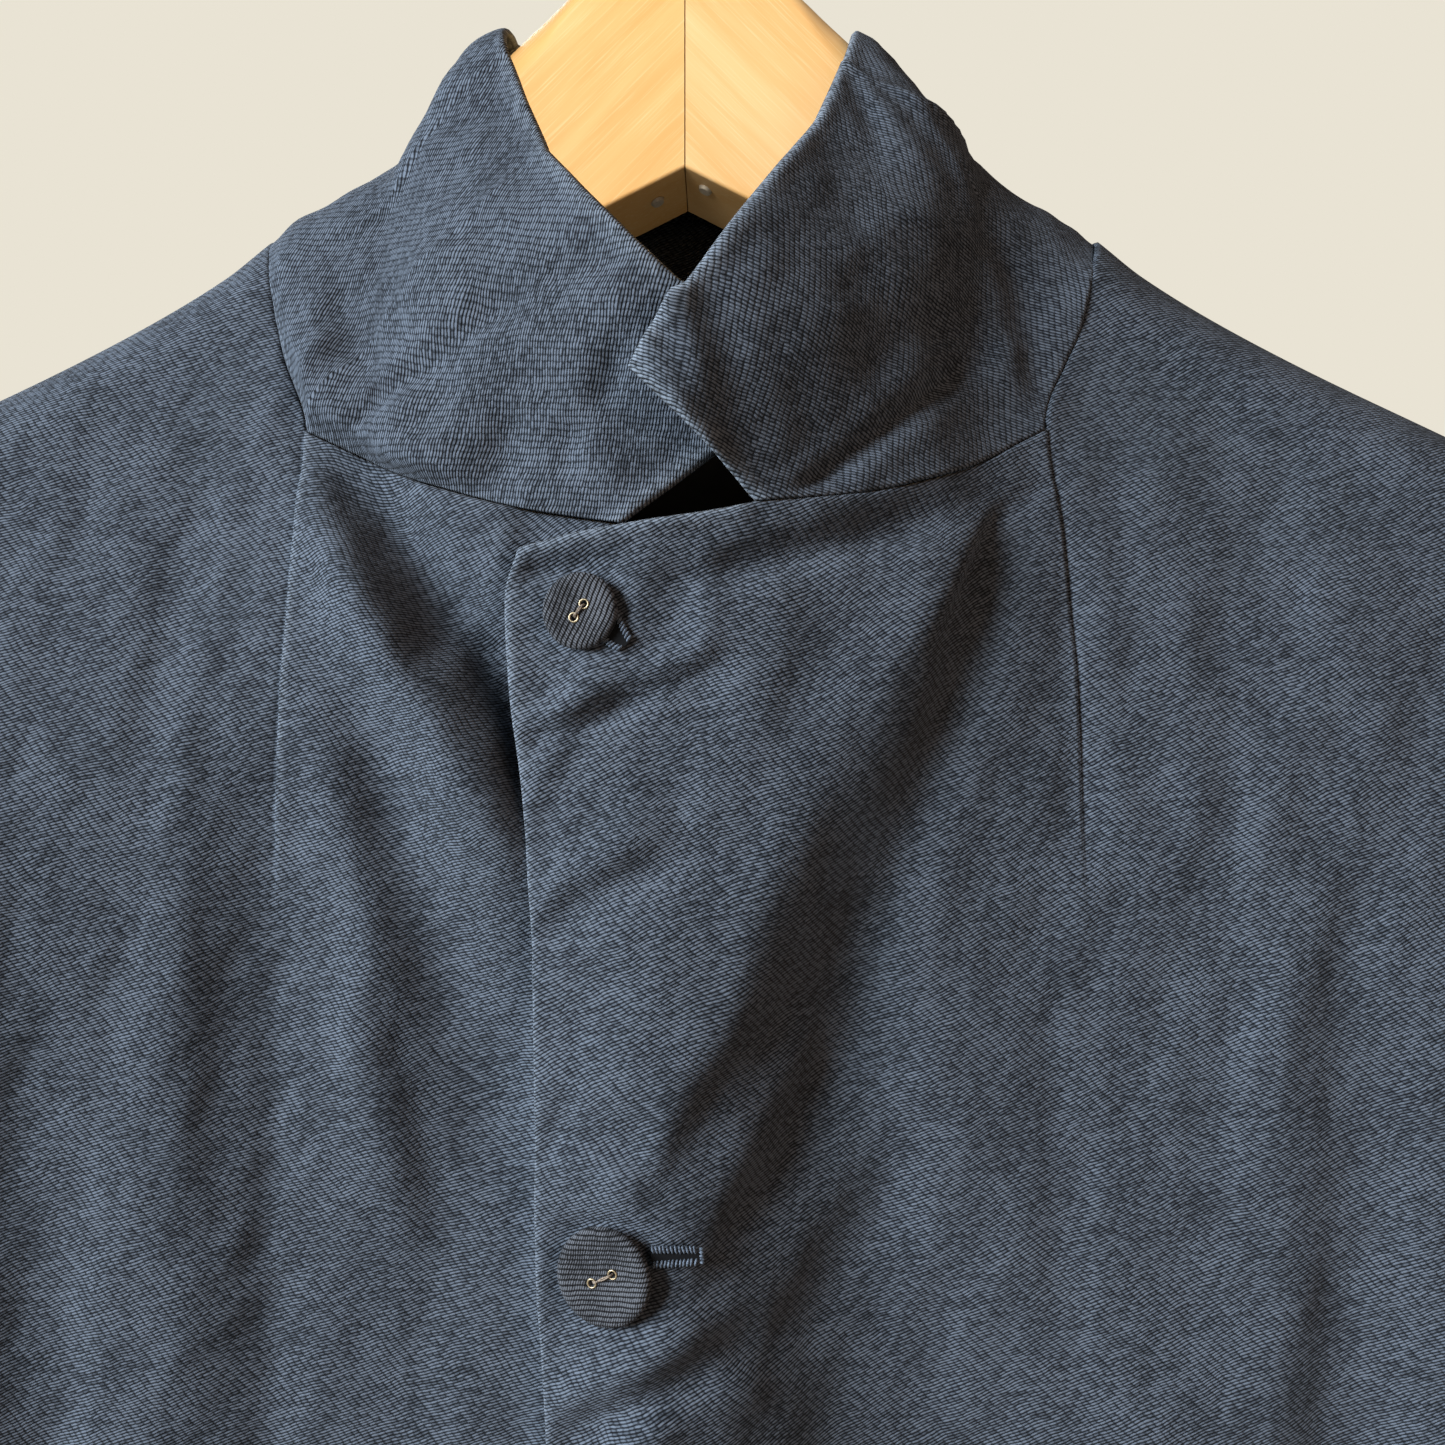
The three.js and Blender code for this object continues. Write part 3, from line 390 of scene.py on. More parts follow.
def front_grid(which):
    """x and z of a front's points; above the corner row only the shoulder part is cloth."""
    panel = FRONTS[which]
    stations = COLLAR_ENDS[which]
    line_z = row_heights(float(ridge_z(NECK_POINT)), "line")
    line_x = read(panel["line"], "z", "x", line_z)
    edge_top = panel["edge"][0]
    end_x = stations[0]["seam_x"]
    free_x = lerp(edge_top["x"], end_x, shares(FREE_COLUMNS, 0.2, 1))[:-1]
    along = shares(SEAM_COLUMNS, 1, 0.3)[:-1] * (len(stations) - 1)
    top_x = np.r_[free_x, read_at(stations, "seam_x", along)]
    top_z = np.r_[read(panel["free_top"], "x", "z", free_x), read_at(stations, "seam_z", along)]
    share = (top_x - edge_top["x"]) / (stations[-1]["seam_x"] - edge_top["x"])
    down = ((line_z - CORNER_Z) / (HEM_Z - CORNER_Z))[:, None]
    edge_z = lerp(edge_top["z"], HEM_Z, down)
    edge_x = read(panel["edge"], "z", "x", edge_z)
    neckline = top_z - lerp(edge_top["z"], CORNER_Z, share)
    inner_x = lerp(edge_x, line_x[:, None], share)
    inner_z = lerp(edge_z, line_z[:, None], share) + neckline * (1 - smooth(down / NECKLINE_FADE))
    shoulder_x, shoulder_z = shoulder_part(line_x, line_z, panel["side"])
    return np.hstack([inner_x, shoulder_x]), np.hstack([inner_z, shoulder_z])


# ---- Sheets of cloth ----
def normals(points, roughly):
    """The way out at each point of a grid, square to its neighbours, on the side of roughly."""
    along = np.gradient(points, axis=1)
    down = np.gradient(points, axis=0)
    out = np.cross(along, down)
    out = out / np.maximum(np.linalg.norm(out, axis=2, keepdims=True), 1e-9)
    side = np.sign((out * roughly).sum(axis=2, keepdims=True))
    return out * np.where(side == 0, 1, side)


def along_ridge(outs, here):
    """On the shoulder seam the front and the back share one way out, so that they meet."""
    outs = outs.copy()
    outs[0, here, 1] = 0
    outs[0, here] /= np.linalg.norm(outs[0, here], axis=1, keepdims=True)
    return outs


def run(points, axis):
    """Length along the grid's rows (axis 1) or columns (axis 0), from the first."""
    step = np.linalg.norm(np.diff(points, axis=axis), axis=2)
    return np.insert(np.cumsum(step, axis=axis), 0, 0, axis=axis)


def rolled(distance, radius):
    """How far an edge has rolled in, at a distance from it."""
    return radius * (1 - quarter_round(distance / radius))


def flat_map(points, origin):
    """Pattern coordinates: x and z, plus the extra cloth that runs in depth from a grid point."""
    extra = []
    for axis, flat in ((1, 0), (0, 2)):
        step = np.diff(points, axis=axis)
        more = np.hypot(step[..., flat], step[..., 1]) - np.abs(step[..., flat])
        length = np.insert(np.cumsum(more, axis=axis), 0, 0, axis=axis)
        start = np.take(length, [origin[axis]], axis=axis)
        way = np.sign(np.take(step[..., flat], [0], axis=axis))
        extra.append((length - start) * way)
    return np.stack([points[..., 0] + extra[0], points[..., 2] + extra[1]], axis=2)


def turned_map(uv, degrees):
    """Pattern coordinates turned, because this piece is cut at an angle to the grain."""
    c, s = math.cos(math.radians(degrees)), math.sin(math.radians(degrees))
    return np.stack([uv[..., 0] * c - uv[..., 1] * s, uv[..., 0] * s + uv[..., 1] * c], axis=2)


def sheet(name, points, outward, uv, wear_and_highlight, material, keep=None, tube=False, thickness=SHEET):
    """A thin shell on a grid of points, which are its outer face. wear_and_highlight is how pale it is,
    from wear and from a painted highlight along edges.
    """
    bm = draped_grid(points)
    map_layer = bm.loops.layers.uv.new("cloth")
    wear_and_highlight_layer = bm.verts.layers.float.new("wear_and_highlight")
    bm.verts.ensure_lookup_table()
    flat_uv = uv.reshape(-1, 2)
    flat_wear_and_highlight = wear_and_highlight.ravel()
    for vert in bm.verts:
        vert[wear_and_highlight_layer] = flat_wear_and_highlight[vert.index]
    for face in bm.faces:
        for loop in face.loops:
            loop[map_layer].uv = flat_uv[loop.vert.index]
    shaded_smooth(bm)
    if keep is not None:
        dropped = ~keep.ravel()
        gone = [vert for vert in bm.verts if dropped[vert.index]]
        bmesh.ops.delete(bm, geom=gone, context="VERTS")
    bm.normal_update()
    facing = sum(face.normal.dot(Vector(outward(face.calc_center_median()))) for face in bm.faces)
    if facing < 0:
        bmesh.ops.reverse_faces(bm, faces=bm.faces)
    if tube:
        bmesh.ops.remove_doubles(bm, verts=bm.verts, dist=1e-6)
    piece = made(name, bm, material)
    shell = piece.modifiers.new("thickness", "SOLIDIFY")
    shell.thickness = thickness * MM
    shell.offset = -1
    return piece


def shown(name, data):
    """A new object in the scene."""
    new = bpy.data.objects.new(name, data)
    bpy.context.scene.collection.objects.link(new)
    return new


def made(name, bm, *materials):
    """Ends a bmesh as a piece with these materials."""
    mesh = bpy.data.meshes.new(name)
    bm.to_mesh(mesh)
    bm.free()
    for material in materials:
        mesh.materials.append(material)
    return shown(name, mesh)


def evaluated_mesh(piece):
    """The piece's mesh with its modifiers or its bevel worked in."""
    bpy.context.view_layer.update()
    return bpy.data.meshes.new_from_object(piece.evaluated_get(bpy.context.evaluated_depsgraph_get()))


def shaded_smooth(bm):
    for face in bm.faces:
        face.smooth = True


def closed_up(bm):
    """Merges doubled points, turns the faces outwards and shades them smooth."""
    bmesh.ops.remove_doubles(bm, verts=bm.verts, dist=1e-7)
    bmesh.ops.recalc_face_normals(bm, faces=bm.faces)
    shaded_smooth(bm)


def joined(bm, other):
    """Adds another bmesh to this one and ends it."""
    part = bpy.data.meshes.new("part")
    other.to_mesh(part)
    other.free()
    bm.from_mesh(part)
    bpy.data.meshes.remove(part)


def draped_grid(points):
    """A bmesh grid laid on rows and columns of points, in millimetres."""
    rows, columns = points.shape[:2]
    bm = bmesh.new()
    bmesh.ops.create_grid(bm, x_segments=columns - 1, y_segments=rows - 1, size=1)
    bm.verts.ensure_lookup_table()
    places = points.reshape(-1, 3) * MM
    for vert in bm.verts:
        vert.co = places[vert.index]
    return bm


def out_of_middle(point):
    return (point.x * 0.2, point.y + 0.012, 0.1)


def placed(x, z, face, which=None):
    return np.stack([x, cloth_y(x, z, face, which), z], axis=2)


def below_ridge(x, z):
    """0 along the shoulder seam, where the pieces meet, and 1 well below it."""
    return smooth((ridge_z(x) - z) / 60)


def turned_away(x):
    """1 on the face of the garment, fading to 0 at the side seam."""
    return smooth((UNDERARM_HALF - np.abs(x)) / SIDE_TURN)


def flat_at_holes(x, z):
    """Close to 0 where a buttonhole is sewn into the cloth, 1 away from it."""
    flat = 1
    for hole in BUTTONHOLES:
        turn = math.radians(hole["turn"])
        middle_x = hole["x"] + hole["long"] / 2 * math.cos(turn)
        middle_z = hole["z"] + hole["long"] / 2 * math.sin(turn)
        flat = flat * (1 - bell(np.hypot(x - middle_x, z - middle_z), 9))
    return flat


def hollows(x, z):
    """The cloth is drawn in round each button's rim, most above it."""
    deep = 0
    for button in BUTTONS:
        away = np.maximum(np.hypot(x - button["x"], z - button["z"]), 1)
        lean = 0.75 + 0.25 * (z - button["z"]) / away
        rim = button["wide"] / 2 - 0.4
        deep = deep + button["wide"] / 11 * lean * bell(away - rim, 3)
    return deep


# A dart runs down from the neckline's corner. Cloth towards the middle stands a little over the
# cloth towards the side. The numbers in pairs are for the left and the right front. Its pale line
# is wear and a painted highlight, stronger on the right front, whose dart step faces the light.
DART = {"foot": -345, "fade": 60, "ridge": (0.4, 0.9), "ridge_wide": 5, "ditch": 0.9, "ditch_wide": 1.6,
        "wear_and_highlight": (0.05, 0.25)}
# The free edge's doubled cloth stands up as a soft cord, higher and paler above its foot.
CORD = {"in": 2.2, "wide": 2.2, "low": 0.2, "high": 0.8, "foot": -330, "fade": 60}
CORNER_SINK = {"deep": 2.2, "wide": 5}
UNDER_OVERLAP = {"lower": 3.2, "keep": 0.1}  # the hidden part of the right front lies flat and low


def front(which, material):
    """A front, from its free edge to the side seam, with its dart, creases and rolled edges."""
    x, z = front_grid(which)
    points = placed(x, z, "front", which)
    line_column = FREE_COLUMNS + SEAM_COLUMNS
    outs = along_ridge(normals(points, np.array([0, -1, 0.3])), slice(line_column, None))
    rows, columns = x.shape
    keep = np.ones((rows, columns), bool)
    keep[:CORNER_ROW, :line_column] = False
    side = FRONTS[which]["side"]
    left = which == "left"

    # Creases and puckers, which fade to the free edge, to the shoulder and to the side.
    line_run = run(points, 1)
    height = sum(fold_out(fold, x, z) for fold in FRONT_CREASES[which]) * smooth(line_run / 8)
    height = height + turned_away(x) * below_ridge(x, z) * puckers("front", x, z, side)
    if left:
        height = height * flat_at_holes(x, z) - hollows(x, z)
    else:
        hidden = smooth((x - read(FRONTS["left"]["edge"], "z", "x", z) + 5) / 8)
        height = lerp(height, UNDER_OVERLAP["keep"] * height - UNDER_OVERLAP["lower"], hidden)
    from_line = line_run - line_run[:, [line_column]]
    dart_fade = smooth((z - DART["foot"]) / DART["fade"]) * smooth((CORNER_Z + 2 - z) / 4)
    ridge = DART["ridge"][not left] * bell(from_line, DART["ridge_wide"]) * (from_line <= 0)
    ditch = DART["ditch"] * bell(from_line, DART["ditch_wide"]) * (from_line > 0)
    height = height + dart_fade * (ridge - ditch)

    # Edges: rolled where free, sunk a little where sewn, and most at the neckline's corner.
    down_run = run(points, 0)
    at_neckline = np.arange(columns) < line_column
    top_run = down_run - np.where(at_neckline, down_run[CORNER_ROW], down_run[0])
    below_top = np.maximum(top_run, 0)
    free = np.arange(columns) < FREE_COLUMNS
    at_top = np.where(free, rolled(below_top, EDGE_ROLL["free"]), rolled(below_top, EDGE_ROLL["sewn"]))
    neck_side = (np.arange(rows) < CORNER_ROW)[:, None]
    at_line = np.where(neck_side, rolled(np.maximum(from_line, 0), EDGE_ROLL["sewn"]), 0)
    beside = (from_line >= 0) * (CORNER_SINK["deep"] - rolled(below_top, EDGE_ROLL["sewn"]))
    at_corner = bell(from_line, CORNER_SINK["wide"]) * bell(top_run, CORNER_SINK["wide"])
    height = height - rolled(line_run, EDGE_ROLL["free"]) - np.maximum(at_top, at_line)
    height = height - np.maximum(beside, 0) * at_corner
    height = height - rolled(down_run[[-1]] - down_run, EDGE_ROLL["free"])

    distance = np.minimum(line_run, np.where(free, top_run, 99))
    cord = bell(distance - CORD["in"], CORD["wide"])
    upper = smooth((z - CORD["foot"]) / CORD["fade"])
    if left:
        height = height + cord * lerp(CORD["low"], CORD["high"], upper)
    # Pale along the free edge and its cord: wear, and a painted highlight on the rolled edge.
    wear_and_highlight = 0.35 * bell(distance, 1.1) + 0.12 * cord * upper
    # The dart's pale line: wear, and a painted highlight that is stronger on the right front, whose dart
    # step faces the light.
    wear_and_highlight = wear_and_highlight + DART["wear_and_highlight"][not left] * dart_fade * bell(from_line + 0.6, 0.9)

    face = points + outs * (CLOTH / 2 + height)[..., None]
    uv = turned_map(flat_map(points, (rows - 1, line_column)), 0 if left else 6)
    return sheet("front_" + which + "_cloth", face, out_of_middle, uv, np.clip(wear_and_highlight, 0, 1), material, keep)


def back(material):
    """The back, whose right half mirrors the left half's grid but not its folds."""
    line_z = row_heights(float(ridge_z(NECK_POINT)), "back")
    shoulder_x, shoulder_z = shoulder_part(np.full(len(line_z), float(NECK_POINT)), line_z, 1)
    half_x = []
    half_z = []
    for position in shares(34, 0.4, 1)[1:] * (len(COLLAR_BACK) - 1):
        at = row_at(COLLAR_BACK, position)
        half_z.append(row_heights(at["seam_z"], "back"))
        half_x.append(np.full(len(line_z), at["seam_x"]))
    x = np.hstack([shoulder_x[:, ::-1], np.stack(half_x, axis=1)])
    z = np.hstack([shoulder_z[:, ::-1], np.stack(half_z, axis=1)])
    x = np.hstack([x, -x[:, -2::-1]])
    z = np.hstack([z, z[:, -2::-1]])
    points = placed(x, z, "back")
    outs = normals(points, np.array([0, 1, 0.3]))
    shoulder = shoulder_x.shape[1]
    for here in (slice(0, shoulder), slice(-shoulder, None)):
        outs = along_ridge(outs, here)
    label_reach = LABEL["half"] + 20
    behind_label = smooth((label_reach - np.abs(x - LABEL["x"])) / 18)
    behind_label = behind_label * smooth((z - LABEL["bottom"] + 24) / 20)
    height = turned_away(x) * below_ridge(x, z) * (1 - 0.85 * behind_label) * puckers("back", x, z)
    down_run = run(points, 0)
    from_hem = down_run[[-1]] - down_run
    height = height - rolled(down_run, EDGE_ROLL["sewn"]) - rolled(from_hem, EDGE_ROLL["free"])
    face = points + outs * (CLOTH / 2 + height)[..., None]
    uv = flat_map(points, (len(z) - 1, x.shape[1] // 2))
    return sheet("back_cloth", face, out_of_middle, uv, 0.8 * bell(from_hem, 1.6), material)


SLEEVE_RADIUS = 60
ELBOW = {"down": 270, "reach": 90}


def armhole(face_rows):
    """The armhole's rim, down the front and up the back, and how far round the sleeve each point is."""
    both = [(z, "front") for z in face_rows] + [(z, "back") for z in face_rows[-2:0:-1]]
    rim = []
    for z, face in both:
        x = float(read(SIDE, "z", "x", z))
        rim.append((x, float(cloth_y(np.array(x), np.array(z), face)), z))
    rim = np.array(rim)
    cosine = np.clip((rim[:, 2] - UNDERARM_Z) / (TIP_Z - UNDERARM_Z), 0, 1) * 2 - 1
    turns = np.arccos(cosine) * np.where(np.arange(len(rim)) < len(face_rows), 1, -1)
    return rim, turns


def sleeve(side, name, material):
    """A tube lofted from the armhole to the open hem, bent and puckered at the elbow."""
    rim, turns = armhole(SIDE_HEIGHTS[: UNDERARM_ROW + 1 : 3])
    high = (1 + np.cos(turns)) / 2
    rings = []
    for position in shares(110, 0.3, 0.5) * (len(SLEEVE) - 1):
        at = row_at(SLEEVE, position)
        rings.append(np.stack([
            lerp(at["low_x"], at["top_x"], high),
            at["y"] - at["depth"] * np.sin(turns),
            lerp(at["low_z"], at["top_z"], high),
        ], axis=1))
    seam = rim + np.array([0.3, 0, 0])
    between = [lerp(seam, rings[0], t) for t in (0.15, 0.35, 0.6, 0.8)]
    points = np.stack([seam, *between, *rings])
    points = np.concatenate([points, points[:, :1]], axis=1)
    middle = points.mean(axis=1, keepdims=True)
    closed = np.concatenate([points[:, -2:-1], points, points[:, 1:2]], axis=1)
    outs = normals(closed, closed - middle)
    # The way out turns gently where the sleeve bends from the shoulder to hang.
    for _ in range(12):
        outs[1:-1, 1:-1] += outs[:-2, 1:-1] + outs[2:, 1:-1] + outs[1:-1, :-2] + outs[1:-1, 2:]
        outs[:, 0], outs[:, -1] = outs[:, -3], outs[:, 2]
        outs = outs / np.linalg.norm(outs, axis=2, keepdims=True)
    outs = outs[:, 1:-1]
    length = run(points, 0)
    from_hem = length[[-1]] - length
    turn = np.r_[turns, turns[0]][None, :]
    round_x = SLEEVE_RADIUS * np.cos(turn) + 0 * length
    round_z = SLEEVE_RADIUS * np.sin(turn) + length
    elbow = bell(length - ELBOW["down"], ELBOW["reach"])
    height = puckers("sleeve", round_x, round_z, side, lerp(0.5, 1, elbow)) * smooth((length - 8) / 70)
    height = height - rolled(length, EDGE_ROLL["armhole"]) - rolled(from_hem, EDGE_ROLL["free"])
    wear_and_highlight = np.broadcast_to(0.8 * bell(from_hem, 1.8), length.shape)
    face = points + outs * (CLOTH / 2 + height)[..., None]
    face[:, -1] = face[:, 0]
    face[..., 0] *= side
    uv = np.stack([run(points, 1) * side, -length], axis=2)
    middle_x = side * 0.29

    def outward(point):
        return (point.x - middle_x, point.y + 0.02, 0)

    return sheet(name, face, outward, uv, wear_and_highlight, material, tube=True)


# ---- The collar ----
def collar_half(which):
    """Stations of the collar's front half, from its end to the ridge of the shoulder."""
    ends = COLLAR_ENDS[which]
    climb = COLLAR_CLIMB[which]
    part = []
    for t in shares(70, 0.2, 1):
        part.append({**row_at(ends, t * (len(ends) - 1)), "standing": smooth(t), "end": 1 - t,
                     "on_ridge": 0, "creased": 1})
    line_z = row_heights(float(ridge_z(NECK_POINT)), "line")
    line_x = read(FRONTS[which]["line"], "z", "x", line_z)
    peak_z = climb[-1]["z"]
    foot = peak_z - PEAK_DROP * ROUND_OVER
    for row in range(CORNER_ROW - 1, -1, -1):
        turned = min(row / TURN_ROWS, 1)
        below = max(row - TURN_ROWS, 0) / STRETCHES[0]["rows"]
        z = lerp(foot, climb[0]["z"], below) if below else peak_z - PEAK_DROP * turn_drop(turned)
        from_ridge = 3 * (turned + below)
        part.append({"seam_x": line_x[row], "seam_z": line_z[row], "edge_x": read(climb, "z", "x", z),
                     "edge_z": z, "standing": from_ridge / 6, "end": 0,
                     "on_ridge": 1 - smooth((from_ridge - 1) / 5), "creased": smooth(from_ridge / 4)})
    return [{**at, "face": "front", "which": which} for at in part]


def collar_columns():
    """Stations of the whole collar, from the left end round the back to the right end."""
    behind = []
    for position in np.r_[0.01, np.linspace(0, len(COLLAR_BACK) - 1, 61)[1:]]:
        behind.append({**row_at(COLLAR_BACK, position), "face": "back", "which": None, "standing": 0,
                       "end": 0, "on_ridge": float(1 - smooth((position - 1) / 5)), "creased": 0})
    other = [{**at, "seam_x": -at["seam_x"], "edge_x": -at["edge_x"]} for at in behind[-2::-1]]
    return collar_half("left") + behind + other + collar_half("right")[::-1]


COLLAR_ROWS = 46
TUCK = {"front": 0.015, "back": 0.03}  # share of the collar's depth that its sewn edge is tucked under
GRAIN_TURN = {"left": 43, "right": -42, None: 0}  # the band's grain turns with it round the neck


def collar(material):
    """The band round the neck, whose ends stand up and cross, the left over the right."""
    stations = collar_columns()
    across = shares(COLLAR_ROWS, 0.3, 0.3)
    value = {name: column(stations, name)[None, :] for name in stations[0] if name not in ("face", "which")}
    faces = np.array([at["face"] for at in stations])
    on_front = (faces == "front")[None, :]
    tuck = np.where(on_front, TUCK["front"] * value["on_ridge"], TUCK["back"])
    up_band = across[:, None] - tuck * (1 - across[:, None])
    x = lerp(value["seam_x"], value["edge_x"], up_band)
    bend = ridge_z(x) - lerp(ridge_z(value["seam_x"]), ridge_z(value["edge_x"]), up_band)
    z = lerp(value["seam_z"], value["edge_z"], up_band) + bend * value["on_ridge"]
    inward = np.clip(1 - np.abs(x) / COLLAR_LEAN["from"], 0, 1) * value["standing"] * up_band
    bow = COLLAR_STAND * value["standing"] * 4 * up_band * (1 - up_band)
    height = puckers("collar", x, z) * lerp(0.6, 1, on_front)
    y = np.zeros_like(x)
    creases = np.zeros_like(x)
    for face, which in (("front", "left"), ("front", "right"), ("back", None)):
        here = np.array([at["which"] == which for at in stations])
        flip = CORNER_FLIP * value["end"] * up_band**2 if which == "left" else 0
        out = bow + flip + COLLAR_LEAN.get(which, 0) * inward
        laid = cloth_y(x, z, face, which) + (-out if face == "front" else out)
        y[:, here] = laid[:, here]
        folded = sum(fold_out(fold, x, z) for fold in COLLAR_CREASES if fold["on"] == which)
        creases = creases + here[None, :] * folded
    points = np.stack([x, y, z], axis=2)
    roughly = np.where(on_front[..., None], np.array([0, -1, 0.3]), np.array([0, 1, 0.3]))
    outs = normals(points, roughly)

    from_seam = run(points, 0)
    from_edge = from_seam[[-1]] - from_seam
    along = run(points, 1)
    from_end = np.minimum(along, along[:, [-1]] - along)
    border = np.minimum(from_edge, from_end)
    cord = bell(border - 2.4, 2.2) * np.where(on_front, lerp(0.3, 1, value["creased"]), 1)
    height = height + smooth(from_seam / 7) * value["creased"] * creases + 0.55 * cord
    height = height - rolled(from_edge, EDGE_ROLL["collar"]) - rolled(from_end, EDGE_ROLL["collar"])
    height = height - rolled(from_seam, EDGE_ROLL["sewn"])
    # The pale border and seam: wear, and along the border also a painted highlight on the rolled edge.
    wear_and_highlight = 0.4 * bell(border, 1.4) + 0.2 * cord + 0.2 * bell(from_seam, 1.2)

    face = points + outs * (CLOTH / 2 + height)[..., None]
    middle = len(stations) // 2
    uv = flat_map(points, (0, middle))
    behind = faces == "back"
    uv[:, behind, 0] = (along[:, [middle]] - along)[:, behind]
    turned = [turned_map(uv[:, [i]], GRAIN_TURN[at["which"]]) for i, at in enumerate(stations)]
    uv = np.concatenate(turned, axis=1)
    return sheet("collar_cloth", face, out_of_middle, uv, np.clip(wear_and_highlight, 0, 1), material)


# ---- Neck label ----
LABEL = {"x": 2, "half": 42, "top": -190, "bottom": -238, "inside": 2.2, "thick": 0.5}


def neck_label(material):
    """A bare woven label inside the back neck, with its edges turned under."""
    u = np.linspace(-1, 1, 61)[None, :]
    v = np.linspace(0, 1, 37)[:, None]
    x = LABEL["x"] + LABEL["half"] * u + 0 * v
    z = lerp(LABEL["top"], LABEL["bottom"], v) + 0 * u
    half_tall = (LABEL["top"] - LABEL["bottom"]) / 2
    rim = np.minimum(LABEL["half"] * (1 - np.abs(u)), half_tall * (1 - np.abs(2 * v - 1)))
    y = cloth_y(x, z, "back") - LABEL["inside"]
    y = y + 0.35 * ripple(x, z, 16, 71) * smooth(rim / 8) + 0.25 * bell(rim - 2.5, 0.8)
    points = np.stack([x, y, z], axis=2)
    return sheet("neck_label_satin", points, lambda point: (0, -1, 0), points[..., [0, 2]],
                 np.zeros_like(x), material, thickness=LABEL["thick"])


# ---- Covered buttons ----
BUTTONS = table("name x z wide holes_apart holes_turn grain",
                ("button_neck", -24.3, -259.5, 19.1, 4.2, 52, -111),
                ("button_chest", -18.4, -424.9, 25.5, 6.4, 27, -50),
                ("button_waist", -13.4, -592, 25.5, 6.4, 12, -20),
                ("button_hip", -7.6, -758, 25.5, 6.4, 40, -75))
BUTTON = {"thick": 3.3, "seat": 0.4, "middle": 0.8, "weave": 1.3}
# The domed cover's section: how far in from its rim, and its share of the thickness.
BUTTON_SECTION = table("inset up", (3, 0), (1.4, 0.02), (0.45, 0.16), (0.08, 0.36), (0, 0.55), (0.22, 0.74),
                       (0.75, 0.9), (1.5, 0.985), (2.3, 1), (3.2, 0.965), (4.4, 0.89), (6, 0.83))
EYELET = {"bore": 1.7, "wire": 0.5, "deep": 2.2}


def on_cloth(x, z):
    """Turns a piece's own frame, with its face to +Z, into its place on the left front."""
    reach = 4

    def y(at_x, at_z):
        return float(cloth_y(np.array(float(at_x)), np.array(float(at_z)), "front", "left"))

    across = Vector((2 * reach, y(x + reach, z) - y(x - reach, z), 0)).normalized()
    up = Vector((0, y(x, z + reach) - y(x, z - reach), 2 * reach)).normalized()
    out = across.cross(up).normalized()
    up = out.cross(across)
    frame_of = Matrix((across, up, out)).transposed().to_4x4()
    return Matrix.Translation(Vector((x, y(x, z), z)) * MM) @ frame_of


def spun(section, steps):
    """A bmesh turned round Z from a section of (radius, height) points, in millimetres."""
    bm = bmesh.new()
    verts = [bm.verts.new((r * MM, 0, h * MM)) for r, h in section]
    edges = [bm.edges.new(pair) for pair in zip(verts, verts[1:])]
    bmesh.ops.spin(bm, geom=verts + edges, cent=(0, 0, 0), axis=(0, 0, 1), dvec=(0, 0, 0),
                   angle=2 * math.pi, steps=steps, use_merge=True, use_duplicate=False)
    closed_up(bm)
    return bm


def planar_map(bm, degrees):
    """Pattern coordinates in millimetres, laid flat on the XY plane and turned."""
    layer = bm.loops.layers.uv.new("cloth")
    turn = Matrix.Rotation(math.radians(degrees), 2)
    for face in bm.faces:
        for loop in face.loops:
            loop[layer].uv = turn @ (loop.vert.co.xy / MM * BUTTON["weave"])


def bored(piece, cutter):
    """Cuts the cutter's shape out of the piece."""
    cut = piece.modifiers.new("bore", "BOOLEAN")
    cut.object = cutter
    cut.solver = "EXACT"
    solid = evaluated_mesh(piece)
    piece.modifiers.clear()
    piece.data = solid
    bpy.data.objects.remove(cutter)


def wire(points, thickness, closed=False, resolution=4):
    """A round wire along points, in metres, as a mesh."""
    path = bpy.data.curves.new("wire", "CURVE")
    path.dimensions = "3D"
    path.bevel_depth = thickness / 2 * MM
    path.bevel_resolution = resolution
    path.use_fill_caps = True
    spline = path.splines.new("POLY")
    spline.points.add(len(points) - 1)
    for point, place in zip(spline.points, points):
        point.co = (*place, 1)
    spline.use_cyclic_u = closed
    holder = shown("wire", path)
    mesh = evaluated_mesh(holder)
    bpy.data.objects.remove(holder)
    bm = bmesh.new()
    bm.from_mesh(mesh)
    bpy.data.meshes.remove(mesh)
    closed_up(bm)
    return bm


def hole_places(button):
    half = button["holes_apart"] / 2
    turn = math.radians(button["holes_turn"])
    return [(way * half * math.cos(turn), way * half * math.sin(turn)) for way in (-1, 1)]


def eyelet_rings(button, face_up):
    """The two eyelets' rims, which stand a little over the cover."""
    radius = (EYELET["bore"] + EYELET["wire"]) / 2
    rings = bmesh.new()
    for x, y in hole_places(button):
        points = [Vector((x + radius * math.cos(t), y + radius * math.sin(t), face_up + 0.12)) * MM
                  for t in np.linspace(0, 2 * math.pi, 33)[:-1]]
        joined(rings, wire(points, EYELET["wire"], closed=True))
    return rings


def button_strands(button, face_up):
    """Two strands of sewing thread, which cross from hole to hole and go down through them."""
    (ax, ay), (bx, by) = hole_places(button)
    turn = math.radians(button["holes_turn"])
    strands = bmesh.new()
    for side in (-1, 1):
        points = []
        for t in np.linspace(0, 1, 25):
            sag = 0.75 * (1 - (2 * t - 1) ** 4) - 1.2 * abs(2 * t - 1) ** 9
            twist = 0.22 * side * math.cos(5 * t)
            x = lerp(ax, bx, t) - twist * math.sin(turn)
            y = lerp(ay, by, t) + twist * math.cos(turn)
            points.append(Vector((x, y, face_up + sag)) * MM)
        joined(strands, wire(points, 0.42, resolution=2))
    return strands


